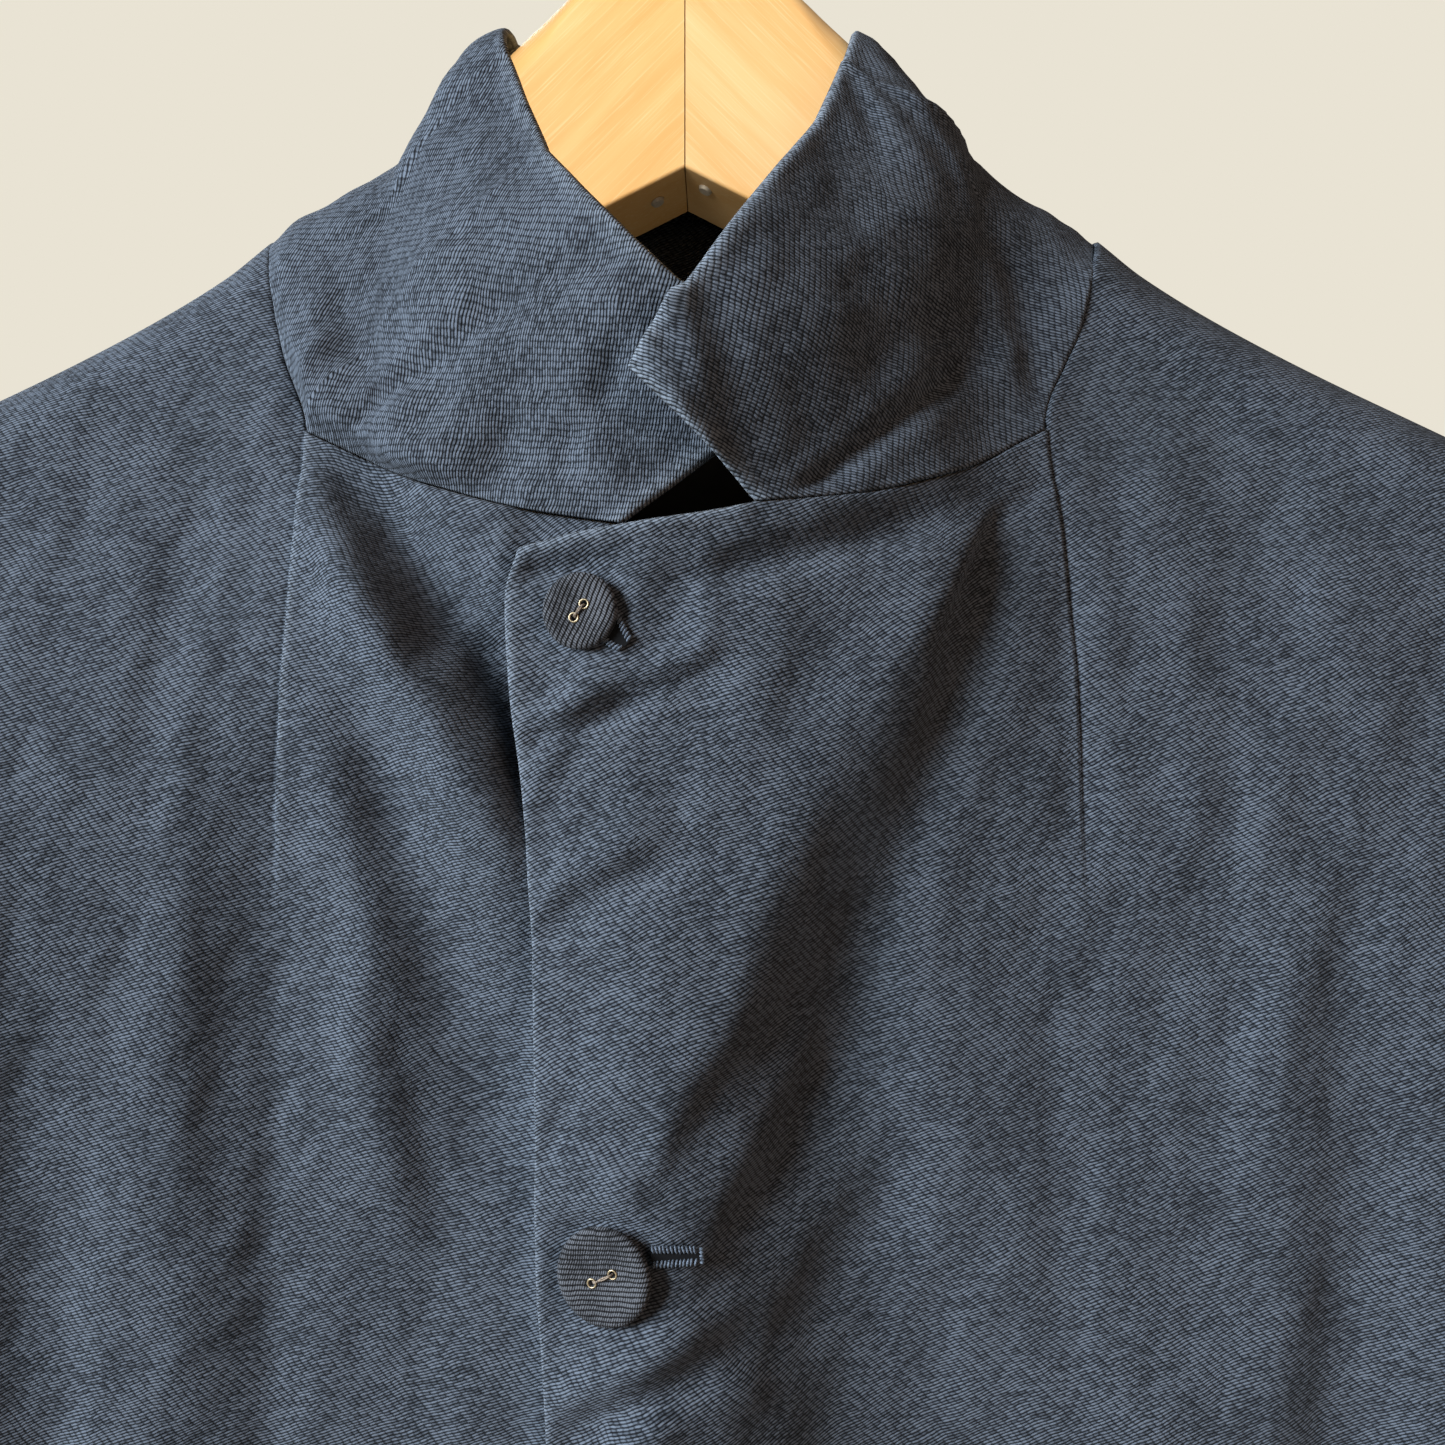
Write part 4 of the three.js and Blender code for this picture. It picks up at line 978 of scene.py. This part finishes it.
def covered_button(button, cloth, brass, thread):
    """A domed cover of cloth with two holes, their eyelets and the thread through them."""
    radius = button["wide"] / 2
    top = BUTTON["thick"]
    face_up = BUTTON["middle"] * top
    section = [(0, 0)] + [(radius - row["inset"], row["up"] * top) for row in BUTTON_SECTION]
    section += [(radius * 0.25, face_up), (0, face_up)]
    bm = spun(section, 96)
    planar_map(bm, button["grain"])
    cover = made(button["name"] + "_cover", bm, cloth)
    bores = bmesh.new()
    bore = EYELET["bore"] / 2 * MM
    for x, y in hole_places(button):
        new = bmesh.ops.create_cone(bores, cap_ends=True, segments=24, radius1=bore, radius2=bore,
                                    depth=2 * EYELET["deep"] * MM)
        bmesh.ops.translate(bores, verts=new["verts"], vec=(x * MM, y * MM, (face_up + 0.3) * MM))
    bored(cover, made("bore", bores))
    eyelets = made(button["name"] + "_eyelets", eyelet_rings(button, face_up), brass)
    strands = made(button["name"] + "_thread", button_strands(button, face_up), thread)
    place = on_cloth(button["x"], button["z"]) @ Matrix.Translation((0, 0, BUTTON["seat"] * MM))
    for piece in (cover, eyelets, strands):
        piece.data.transform(place)
    return cover, eyelets, strands


# ---- Buttonholes ----
# open is how far each of its lips is turned away from the other, in degrees.
BUTTONHOLES = table("name x z turn long open", ("button_neck", -22, -259.3, -44, 12.5, 17),
                    ("button_chest", -7.2, -419.3, 3, 12.2, 2), ("button_waist", -2, -587, 1, 12.5, 1),
                    ("button_hip", 3.5, -753, 0, 12.5, 1))
STITCH = {"pitch": 0.95, "wide": 0.8, "long": 2.3, "high": 0.6, "slit": 0.7, "bar": 5}


def buttonhole(hole, thread, dark):
    """Two rows of stitches along a slit, closed at the outer end by a bar where it lies shut, over a
    near-black sheet of painted shade in the slit.
    """
    place = on_cloth(hole["x"], hole["z"]) @ Matrix.Translation((0, 0, (CLOTH / 2 + 0.1) * MM))
    place = place @ Matrix.Rotation(math.radians(hole["turn"]), 4, "Z")
    rng = np.random.default_rng(round(-hole["z"]))
    bm = bmesh.new()

    def stitch(x, y, turn, length):
        new = bmesh.ops.create_uvsphere(bm, u_segments=8, v_segments=6, radius=0.5 * MM)["verts"]
        bmesh.ops.scale(bm, verts=new, vec=(STITCH["wide"], length, STITCH["high"] * 2))
        bmesh.ops.rotate(bm, verts=new, matrix=Matrix.Rotation(turn, 3, "Z"))
        bmesh.ops.translate(bm, verts=new, vec=(x * MM, y * MM, 0))

    off = (STITCH["slit"] + STITCH["long"]) / 2
    spread = math.tan(math.radians(hole["open"]))
    for side in (-1, 1):
        for i in range(int(hole["long"] / STITCH["pitch"])):
            x = (i + 0.5) * STITCH["pitch"] + rng.uniform(-0.08, 0.08)
            y = off + spread * (hole["long"] - x) + rng.uniform(-0.06, 0.06)
            stitch(x, side * y, side * 0.22 + rng.uniform(-0.1, 0.1), STITCH["long"])
    for i in range(STITCH["bar"] if hole["open"] < 10 else 0):
        x = hole["long"] + 0.4 + rng.uniform(-0.05, 0.05)
        stitch(x, (i - 2) * 0.85, math.pi / 2 + rng.uniform(-0.1, 0.1), 1.3)
    shaded_smooth(bm)
    lips = made(hole["name"] + "_hole_stitches", bm, thread)

    # The slit: a near-black sheet just over the cloth between the lips, painted shade.
    bm = bmesh.new()
    new = bmesh.ops.create_grid(bm, x_segments=24, y_segments=4, size=0.5)["verts"]
    wide = STITCH["slit"] + 0.8
    bmesh.ops.scale(bm, verts=new, vec=(hole["long"] * MM, wide * MM, 1))
    bmesh.ops.translate(bm, verts=new, vec=(hole["long"] / 2 * MM, 0, 0.05 * MM))
    for vert in new:
        vert.co.y *= 1 + 2 * spread * (hole["long"] - vert.co.x / MM) / wide
    bmesh.ops.solidify(bm, geom=bm.faces, thickness=0.2 * MM)
    slit = made(hole["name"] + "_hole_slit_painted_shade", bm, dark)
    for piece in (lips, slit):
        piece.data.transform(place)
    return lips, slit


# ---- Hanger ----
# Sections of an arm out from the middle: top, bottom, half thickness and rounded height of the top.
ARM = table("x top bottom half crown", (0.15, -70, -133.5, 20, 9), (14, -72.5, -140.5, 20, 9),
            (28, -78.5, -147.5, 20, 9), (42, -89.5, -153.5, 20, 17), (60, -108, -160.5, 20, 19),
            (71, -123, -165, 20, 19), (80, -134.5, -168.5, 20, 19), (100, -145, -178, 20, 20),
            (117, -157, -187, 20, 20), (130, -167, -193, 20, 20), (158, -185, -207, 19, 20),
            (200, -207.5, -226, 16.5, 18), (213, -214.5, -229, 13, 12))
ARM_FOOT = 1.2  # radius along the bottom edges
ARM_TIP = {"from": 207, "long": 6.2, "half": 0.35, "tall": 0.45}  # the end narrows to these shares


def hanger_arm(side, name, material):
    """Half of the hanger, lofted through its sections from the middle to its rounded end."""
    across = np.linspace(-math.pi / 2, math.pi / 2, 25)
    turn_in = np.linspace(0, math.pi / 2, 6)
    rings = []
    for x in np.r_[ARM[0]["x"], np.linspace(1.5, 208, 90), 210, 211.6, 212.6, ARM[-1]["x"]]:
        at = {key: float(read(ARM, "x", key, x)) for key in ("top", "bottom", "half", "crown")}
        tip = math.sqrt(max(0.0, 1 - max(0.0, (x - ARM_TIP["from"]) / ARM_TIP["long"]) ** 2))
        half = at["half"] * lerp(ARM_TIP["half"], 1, tip)
        foot_y = half - ARM_FOOT * (1 - np.cos(turn_in))
        foot_z = at["bottom"] + ARM_FOOT * (1 - np.sin(turn_in))
        base_y = np.linspace(foot_y[-1], -foot_y[-1], 9)[1:-1]
        y = np.r_[half * np.sin(across), foot_y, base_y, -foot_y[::-1]]
        crown_z = at["top"] - at["crown"] * (1 - np.cos(across))
        z = np.r_[crown_z, foot_z, np.full(len(base_y), foot_z[-1]), foot_z[::-1]]
        middle_z = (at["top"] + at["bottom"]) / 2
        z = middle_z + (z - middle_z) * lerp(ARM_TIP["tall"], 1, tip)
        forward = -SWEEP["out"] * (x / SWEEP["at"]) ** 2
        rings.append(np.stack([np.full(len(y), side * x), y + forward, z], axis=1))
    points = np.stack(rings)
    bm = draped_grid(np.concatenate([points, points[:, :1]], axis=1))
    bmesh.ops.remove_doubles(bm, verts=bm.verts, dist=1e-7)
    bmesh.ops.holes_fill(bm, edges=bm.edges, sides=0)
    bmesh.ops.recalc_face_normals(bm, faces=bm.faces)
    for face in bm.faces:
        face.smooth = len(face.verts) == 4
    for edge in bm.edges:
        edge.smooth = all(face.smooth for face in edge.link_faces)
    return made(name, bm, material)


HOOK = {"wire": 4.2, "inside": 20, "from": -35, "to": 235, "shank": -53, "foot": -72}
HOOK_LEAD = {"bend": 12, "shank": 9}  # reach of the curve's handles between the bend and the shank
FERRULE = table("r z", (0, -72), (6.5, -72), (6.5, -69), (6.1, -67.6), (4.9, -66.4), (3.6, -65.6),
                (2.9, -65.2), (0, -65.2))


def hanger_hook(steel):
    """A round wire bent over the rod, with a straight shank and a turned ferrule."""
    bend = HOOK["inside"] + HOOK["wire"] / 2
    turns = np.radians(np.linspace(HOOK["from"], HOOK["to"], 73))
    arc = np.stack([bend * np.cos(turns), -HOOK["inside"] + bend * np.sin(turns)], axis=1)
    steer = (arc[-1] - arc[-2]) / np.linalg.norm(arc[-1] - arc[-2])
    start, end = arc[-1], np.array([0, HOOK["shank"]])
    leave = start + HOOK_LEAD["bend"] * steer
    reach = end + np.array([0, HOOK_LEAD["shank"]])
    t = np.linspace(0, 1, 25)[1:, None]
    lead = (1 - t) ** 3 * start + 3 * (1 - t) ** 2 * t * leave + 3 * (1 - t) * t**2 * reach + t**3 * end
    line = [*arc, *lead, (0, HOOK["foot"])]
    bm = wire([Vector((x, 0, z)) * MM for x, z in line], HOOK["wire"], resolution=10)
    joined(bm, spun([(row["r"], row["z"]) for row in FERRULE], 48))
    return made("hook_wire", bm, steel)


# Small fasteners let into the underside, one each side of the joint.
FASTENERS = table("x y z", (5.4, -9.5, -136.6), (-8, -4, -138.2))
FASTENER = {"foot": 1.9, "head": 1.5, "thick": 0.9, "bevel": 0.15}


def hanger_fasteners(steel):
    bm = bmesh.new()
    rise = ARM[0]["bottom"] - ARM[1]["bottom"]
    for row in FASTENERS:
        new = bmesh.ops.create_cone(bm, cap_ends=True, segments=32, radius1=FASTENER["foot"] * MM,
                                    radius2=FASTENER["head"] * MM, depth=FASTENER["thick"] * MM)["verts"]
        bmesh.ops.scale(bm, verts=new, vec=(1.1, 1.7, -1))
        tilt = math.copysign(math.atan2(rise, 14), row["x"])
        bmesh.ops.rotate(bm, verts=new, matrix=Matrix.Rotation(tilt, 3, "Y"))
        bmesh.ops.translate(bm, verts=new, vec=Vector((row["x"], row["y"], row["z"])) * MM)
    bmesh.ops.recalc_face_normals(bm, faces=bm.faces)
    rims = [edge for edge in bm.edges if edge.calc_face_angle(0) > 0.9]
    bmesh.ops.bevel(bm, geom=rims, offset=FASTENER["bevel"] * MM, affect="EDGES", segments=2, profile=0.5,
                    material=-1)
    return made("hanger_fasteners", bm, steel)


# ---- Materials ----
def colour(code):
    """An sRGB hex value as linear red, green, blue and alpha."""
    parts = [int(code[i : i + 2], 16) / 255 for i in (1, 3, 5)]
    return [p / 12.92 if p <= 0.04045 else ((p + 0.055) / 1.055) ** 2.4 for p in parts] + [1.0]


def node(tree, kind, inputs=None, **settings):
    """Adds a node with its settings and links, and gives it back."""
    new = tree.nodes.new("ShaderNode" + kind)
    for name, value in settings.items():
        setattr(new, name, value)
    for key, value in (inputs or {}).items():
        if isinstance(value, bpy.types.Node):
            value = value.outputs[0]
        if isinstance(value, bpy.types.NodeSocket):
            tree.links.new(value, new.inputs[key])
        else:
            new.inputs[key].default_value = value
    return new


def begun(name):
    """A new material with an empty tree."""
    new = bpy.data.materials.new(name)
    new.use_nodes = True
    new.node_tree.nodes.clear()
    return new, new.node_tree


def finished(tree, sockets):
    """Ends a tree with its surface, whose sockets take these links and values."""
    node(tree, "OutputMaterial", {"Surface": node(tree, "BsdfPrincipled", sockets)})


def two_tone(tree, share, dark, pale, span=(0, 1)):
    """Colours a share from dark to pale, between the two ends of its span."""
    tone = node(tree, "ValToRGB", {"Fac": share})
    for end, code, position in zip(tone.color_ramp.elements, (dark, pale), span):
        end.color = colour(code)
        end.position = position
    return tone


RIB_PITCH = 1.65  # mm between the twill's ribs
YARN_PITCH = 0.77  # mm between the yarns that cross them
RIB_TURN = 45  # degrees down from level
YARN_TURN = -25


def linen_twill(name, dark, mid, pale, fleck=0.5, ribs=(0.05, 0.42), span=(1.3, 3.0)):
    """Washed linen twill: floats like rice grains lie aslant in ribs, painted paler on top and darker
    between as light and shade.
    """
    new, tree = begun(name)

    def math_of(operation, *values, clamp=False):
        return node(tree, "Math", dict(enumerate(values)), operation=operation, use_clamp=clamp)

    def counted(turn, pitch):
        """How many lines of that pitch, running down by turn degrees, have gone by."""
        a = math.radians(turn)
        way = (math.sin(a) / pitch, math.cos(a) / pitch, 0)
        return node(tree, "VectorMath", {0: place, 1: way}, operation="DOT_PRODUCT").outputs["Value"]

    def raised(lines, edge, crest):
        """1 along the middle of each line and 0 in the gap beside it."""
        off = math_of("PINGPONG", math_of("SUBTRACT", lines, 0.17), 0.5)
        return node(tree, "MapRange", {"Value": off, "From Min": edge, "From Max": crest},
                    interpolation_type="SMOOTHSTEP")

    # The yarns wander by about half a millimetre, as hand-washed linen does.
    uv = node(tree, "UVMap", uv_map="cloth")
    wander = node(tree, "TexNoise", {"Vector": uv, "Scale": 0.07, "Detail": 2.0, "Roughness": 0.5})
    shift = node(tree, "VectorMath", {0: wander.outputs["Color"], 1: (0.5, 0.5, 0.5)}, operation="SUBTRACT")
    shift = node(tree, "VectorMath", {0: shift, "Scale": 2.4}, operation="SCALE")
    place = node(tree, "VectorMath", {0: uv, 1: shift}, operation="ADD")

    # One cell of the lattice is one float: it spans a rib and is one yarn wide.
    rib = counted(RIB_TURN, RIB_PITCH)
    yarn = counted(YARN_TURN, YARN_PITCH)
    lattice = node(tree, "CombineXYZ", {"X": rib, "Y": yarn})
    floats = node(tree, "TexVoronoi", {"Vector": lattice, "Scale": 1.0, "Randomness": 0.34},
                  voronoi_dimensions="2D")
    shade = node(tree, "SeparateColor", {"Color": floats.outputs["Color"]})
    grain = node(tree, "MapRange", {"Value": floats.outputs["Distance"], "From Min": 0.6, "From Max": 0.25},
                 interpolation_type="SMOOTHSTEP")

    # A thin groove runs between ribs, deep in some places and washed flat in others, and is painted dark as
    # shade.
    relief = node(tree, "TexNoise", {"Vector": uv, "Scale": 0.05, "Detail": 2.0})
    relief = node(tree, "MapRange", {"Value": relief, "From Min": 0.35, "From Max": 0.68, "To Min": ribs[0],
                                     "To Max": ribs[1]})
    height = math_of("MULTIPLY_ADD", raised(rib, 0.5, 0.24), relief, raised(yarn, 0.48, 0.16))
    height = math_of("MULTIPLY_ADD", grain, 0.5, height)

    # Each float, slub and fibre is a little paler or darker, and what stands higher is painted paler:
    # painted light on the tops, painted shade in the gaps.
    fibre = node(tree, "TexNoise", {"Vector": uv, "Scale": 2.2, "Detail": 3.0, "Roughness": 0.7})
    slub = node(tree, "Mapping", {"Vector": place, "Rotation": (0, 0, math.radians(20)),
                                  "Scale": (0.1, 0.9, 1)})
    slub = node(tree, "TexNoise", {"Vector": slub, "Scale": 1.0, "Detail": 3.0, "Roughness": 0.6})
    lit = math_of("MULTIPLY_ADD", shade.outputs[0], 0.7, height)
    lit = math_of("MULTIPLY_ADD", slub, 0.6, lit)
    lit = math_of("MULTIPLY_ADD", fibre, 1.1, lit)
    share = node(tree, "MapRange", {"Value": lit, "From Min": span[0], "From Max": span[1]})
    cloth = two_tone(tree, share, dark, pale)
    cloth.color_ramp.elements.new(0.5).color = colour(mid)

    # Paler places: wear along edges and seams, with a painted highlight on edges and darts, and small pale
    # flecks on the tops of the yarns, all strongest where the weave's painted light is.
    wear_and_highlight = node(tree, "Attribute", attribute_name="wear_and_highlight")
    patch = node(tree, "TexNoise", {"Vector": uv, "Scale": 0.35, "Detail": 3.0})
    pale_wear_flecks_and_highlight = math_of("MULTIPLY", math_of("MULTIPLY", wear_and_highlight.outputs["Fac"], patch), 1.5)
    specks = node(tree, "MapRange", {"Value": fibre, "From Min": 0.66, "From Max": 0.78})
    pale_wear_flecks_and_highlight = math_of("MULTIPLY", math_of("MULTIPLY_ADD", specks, fleck, pale_wear_flecks_and_highlight), share, clamp=True)
    paint = node(tree, "Mix", {"Factor": pale_wear_flecks_and_highlight, "A": cloth, "B": colour("#b4c0ca")}, data_type="RGBA")
    bump = node(tree, "Bump", {"Height": height, "Strength": 0.7, "Distance": 0.26 * MM})
    finished(tree, {"Base Color": paint.outputs["Result"], "Normal": bump, "Roughness": 0.92,
                    "Sheen Weight": 0.05, "Sheen Roughness": 0.5, "Specular IOR Level": 0.2})
    return new


def maple(name, dark, pale, streak, grain_turn):
    """Oiled maple, cut so that its fine grain runs slanting: close dark fibres, wide pale streaks."""
    new, tree = begun(name)
    place = node(tree, "TexCoord").outputs["Object"]
    turned = node(tree, "Mapping", {"Vector": place, "Rotation": (0, math.radians(grain_turn), 0)})
    # Fibres about 0.5 mm apart and some 25 mm long.
    fibre = node(tree, "Mapping", {"Vector": turned, "Scale": (40, 900, 1900)})
    fibre = node(tree, "TexNoise", {"Vector": fibre, "Scale": 1.0, "Detail": 3.0, "Roughness": 0.6})
    figure = node(tree, "Mapping", {"Vector": turned, "Scale": (14, 60, 130)})
    figure = node(tree, "TexNoise", {"Vector": figure, "Scale": 1.0, "Detail": 2.0, "Distortion": 0.4})
    base = node(tree, "MapRange", {"Value": figure, "From Min": 0.3, "From Max": 0.7})
    base = node(tree, "Mix", {"Factor": base, "A": colour(dark), "B": colour(pale)}, data_type="RGBA")
    lines = node(tree, "MapRange", {"Value": fibre, "From Min": 0.52, "From Max": 0.72, "To Max": 0.55})
    tint = node(tree, "Mix", {"Factor": lines, "A": base.outputs["Result"], "B": colour(streak)},
                data_type="RGBA")
    bump = node(tree, "Bump", {"Height": fibre, "Strength": 0.25, "Distance": 0.1 * MM})
    finished(tree, {"Base Color": tint.outputs["Result"], "Normal": bump, "Roughness": 0.48,
                    "Specular IOR Level": 0.4})
    return new


def satin():
    """Black woven satin: a dull glow along the threads, no colour of its own."""
    new, tree = begun("black_satin_weave")
    uv = node(tree, "UVMap", uv_map="cloth")
    # Threads about 0.5 mm apart, drawn a little coarse so that they show.
    thread = node(tree, "Mapping", {"Vector": uv, "Scale": (0.6, 4.0, 1.0)})
    thread = node(tree, "TexNoise", {"Vector": thread, "Scale": 1.0, "Detail": 2.0})
    bump = node(tree, "Bump", {"Height": thread, "Strength": 0.3, "Distance": 0.1 * MM})
    tone = two_tone(tree, thread, "#08090b", "#17191d")
    finished(tree, {"Base Color": tone, "Normal": bump, "Roughness": 0.45})
    return new


def metal(name, dark, pale, roughness, grit_mm, metallic=1.0):
    """Metal with faint handling marks, which vary how it shines."""
    new, tree = begun(name)
    place = node(tree, "TexCoord").outputs["Object"]
    marks = node(tree, "TexNoise", {"Vector": place, "Scale": 1 / (grit_mm * MM), "Detail": 4.0})
    gloss = node(tree, "MapRange", {"Value": marks, "To Min": roughness * 0.8, "To Max": roughness * 1.3})
    tone = two_tone(tree, marks, dark, pale)
    finished(tree, {"Base Color": tone, "Roughness": gloss, "Metallic": metallic})
    return new


def sewing_thread(name, dark, pale):
    """Twisted cotton thread: matt, with its fibres pale against the gaps."""
    new, tree = begun(name)
    place = node(tree, "TexCoord").outputs["Object"]
    twist = node(tree, "TexNoise", {"Vector": place, "Scale": 2600.0, "Detail": 3.0})
    bump = node(tree, "Bump", {"Height": twist, "Strength": 0.5, "Distance": 0.1 * MM})
    tone = two_tone(tree, twist, dark, pale, (0.35, 0.65))
    finished(tree, {"Base Color": tone, "Normal": bump, "Roughness": 0.85})
    return new


# ---- Stage ----
CAMERA = {"lens": 40.56, "place": (0.0104, -0.470, -0.287)}  # it looks level along +Y
CHEST = (0, -0.04, -0.3)
UNDER_V = (0, 0, -0.13)
# Round soft lamps, in metres and watts: the window on the left is by far the strongest.
LAMPS = table(
    "name place target size power tint",
    ("window_left", (-2.7, -1.82, 0.62), CHEST, 1.98, 258, "#e9f3ff"),
    ("fill_right", (1.3, -1.8, 0.1), CHEST, 1.6, 8, "#ffcaa4"),
    ("from_behind", (-0.7, 1.7, 0.7), CHEST, 1.4, 26, "#f6f8ff"),
    ("window_on_wood", (-0.8, -1.6, 0.35), (0, 0, -0.1), 1.2, 47, "#fff5ea"),
    ("room_on_wood", (0.2, -0.45, -1.1), UNDER_V, 0.8, 1.6, "#fff0dc"),
)
ROOM = {"floor": -1.35, "floor_radius": 5.9, "radius": 6, "plain_from": 0.7, "plain_to": 2.6}
SURROUND = "#e9e3d4"


def add_lamp(name, place, target, size, power, tint):
    lamp = bpy.data.lights.new(name, "AREA")
    lamp.shape = "DISK"
    lamp.size = size
    lamp.energy = power
    lamp.color = colour(tint)[:3]
    light = shown(name, lamp)
    light.location = place
    aim = Vector(target) - Vector(place)
    light.rotation_euler = aim.to_track_quat("-Z", "Y").to_euler()
    light.visible_camera = False
    return light


def add_camera():
    lens = bpy.data.cameras.new("camera")
    lens.sensor_width = 36
    lens.lens = CAMERA["lens"]
    camera = shown("camera", lens)
    camera.location = CAMERA["place"]
    camera.rotation_euler = (math.pi / 2, 0, 0)
    bpy.context.scene.camera = camera


def add_world():
    world = bpy.data.worlds.new("studio")
    world.use_nodes = True
    sky = world.node_tree.nodes["Background"].inputs
    sky["Color"].default_value = colour("#f3ece4")
    sky["Strength"].default_value = 0.1
    bpy.context.scene.world = world
    bpy.context.scene.view_settings.view_transform = "Standard"


def add_room():
    """A floor of pale paper well below the hem, which fades with distance into pale plaster."""
    paper, tree = begun("pale_paper")
    place = node(tree, "TexCoord").outputs["Object"]
    level = node(tree, "VectorMath", {0: place, 1: (1, 1, 0)}, operation="MULTIPLY")
    away = node(tree, "VectorMath", {0: level}, operation="LENGTH").outputs["Value"]
    far = node(tree, "MapRange", {"Value": away, "From Min": ROOM["plain_from"],
                                  "From Max": ROOM["plain_to"]}, interpolation_type="SMOOTHSTEP")
    near = node(tree, "Math", {0: 1.0, 1: far}, operation="SUBTRACT")
    tone = node(tree, "Mix", {"Factor": near, "A": (0, 0, 0, 1), "B": colour("#cfc8ba")}, data_type="RGBA")
    finished(tree, {"Base Color": tone.outputs["Result"], "Emission Strength": far, "Roughness": 0.95,
                    "Emission Color": colour(SURROUND), "Specular IOR Level": 0.0})
    bm = bmesh.new()
    bmesh.ops.create_circle(bm, cap_ends=True, segments=96, radius=ROOM["floor_radius"])
    bmesh.ops.translate(bm, verts=bm.verts, vec=(0, 0, ROOM["floor"]))
    floor = made("floor", bm, paper)
    floor.visible_diffuse = False

    plaster, tree = begun("pale_plaster")
    finished(tree, {"Base Color": colour("#000000"), "Specular IOR Level": 0.0,
                    "Emission Color": colour(SURROUND), "Emission Strength": 1.0})
    bm = bmesh.new()
    bmesh.ops.create_uvsphere(bm, u_segments=64, v_segments=32, radius=ROOM["radius"])
    surround = made("surround", bm, plaster)
    for seen_by in ("diffuse", "glossy", "transmission", "shadow"):
        setattr(surround, "visible_" + seen_by, False)


def light_arms(lamps, arms):
    """The bare wood is lit evenly: a twin of the window lights it past the collar, and it alone."""
    bare = bpy.data.collections.new("bare_wood")
    others = bpy.data.collections.new("all_but_wood")
    for arm in arms:
        bare.objects.link(arm)
        others.objects.link(arm)
    for name in ("window_on_wood", "room_on_wood"):
        lamps[name].light_linking.receiver_collection = bare
        lamps[name].light_linking.blocker_collection = bare
    lamps["window_left"].light_linking.receiver_collection = others
    for member in others.collection_objects:
        member.light_linking.link_state = "EXCLUDE"


def part(piece, slot, *nodes):
    """The piece belongs to the jacket's one body, in place of these CAD nodes."""
    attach(piece, "root")
    if nodes:
        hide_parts(*nodes)
    return piece


def main():
    add_camera()
    add_world()
    add_room()
    lamps = {row["name"]: add_lamp(**row) for row in LAMPS}
    linen = linen_twill("navy_linen_twill", "#0c0f13", "#343a41", "#6b747f")
    button_linen = linen_twill("charcoal_linen_twill", "#060708", "#2b2c2f", "#6a6d72", fleck=0.2,
                               ribs=(1.4, 2.4), span=(1.9, 4.7))
    thread = sewing_thread("taupe_cotton_thread", "#564a3f", "#ab9a86")
    navy_thread = sewing_thread("navy_cotton_thread", "#222a33", "#75818f")
    brass = metal("aged_brass", "#8a7a60", "#cdbd9c", 0.4, 0.6)
    steel = metal("polished_steel", "#8d9093", "#c9cccf", 0.2, 3)
    zinc = metal("dull_zinc_plate", "#b3ad9d", "#dcd6c6", 0.6, 1, metallic=0.25)
    # Near-black linen for the buttonholes' slits: painted shade in the opening, not a colour of the cloth.
    shade = linen_twill("painted_shade_linen", "#020203", "#040506", "#08090b", fleck=0.0)
    # One maple in two copies: the darker, more orange tones of the arm at -x are painted shade and the
    # paler tones of the arm at +x are painted light, as the arms turn from and to the window. Their grain
    # slants opposite ways.
    maple_painted_shade = maple("oiled_maple_painted_shade", "#e6b46c", "#f1c988", "#f8dca9", 45)
    maple_painted_light = maple("oiled_maple_painted_light", "#e6bb79", "#f0cd94", "#f7dfb2", -45)

    part(front("left", linen), "linen", "front_left")
    part(front("right", linen), "linen", "front_right")
    part(back(linen), "linen", "back")
    part(collar(linen), "linen", "collar")
    part(sleeve(1, "sleeve_left_cloth", linen), "linen", "sleeve_left")
    part(sleeve(-1, "sleeve_right_cloth", linen), "linen", "sleeve_right")
    part(neck_label(satin()), "label_satin", "neck_label")
    sewn_on = []
    for button in BUTTONS:
        cover, eyelets, strands = covered_button(button, button_linen, brass, thread)
        part(cover, "button_linen", button["name"])
        part(eyelets, "steel")
        part(strands, "button_linen")
        sewn_on += [cover, eyelets, strands]
    for hole in BUTTONHOLES:
        lips, slit = buttonhole(hole, navy_thread, shade)
        part(lips, "linen")
        part(slit, "linen")
        sewn_on += [lips, slit]
    arms = [hanger_arm(1, "arm_left_maple", maple_painted_light), hanger_arm(-1, "arm_right_maple", maple_painted_shade)]
    part(arms[0], "maple", "hanger_arm_left")
    part(arms[1], "maple", "hanger_arm_right")
    fasteners = part(hanger_fasteners(zinc), "steel")
    light_arms(lamps, [*arms, fasteners])
    part(hanger_hook(steel), "steel", "hanger_hook")


main()
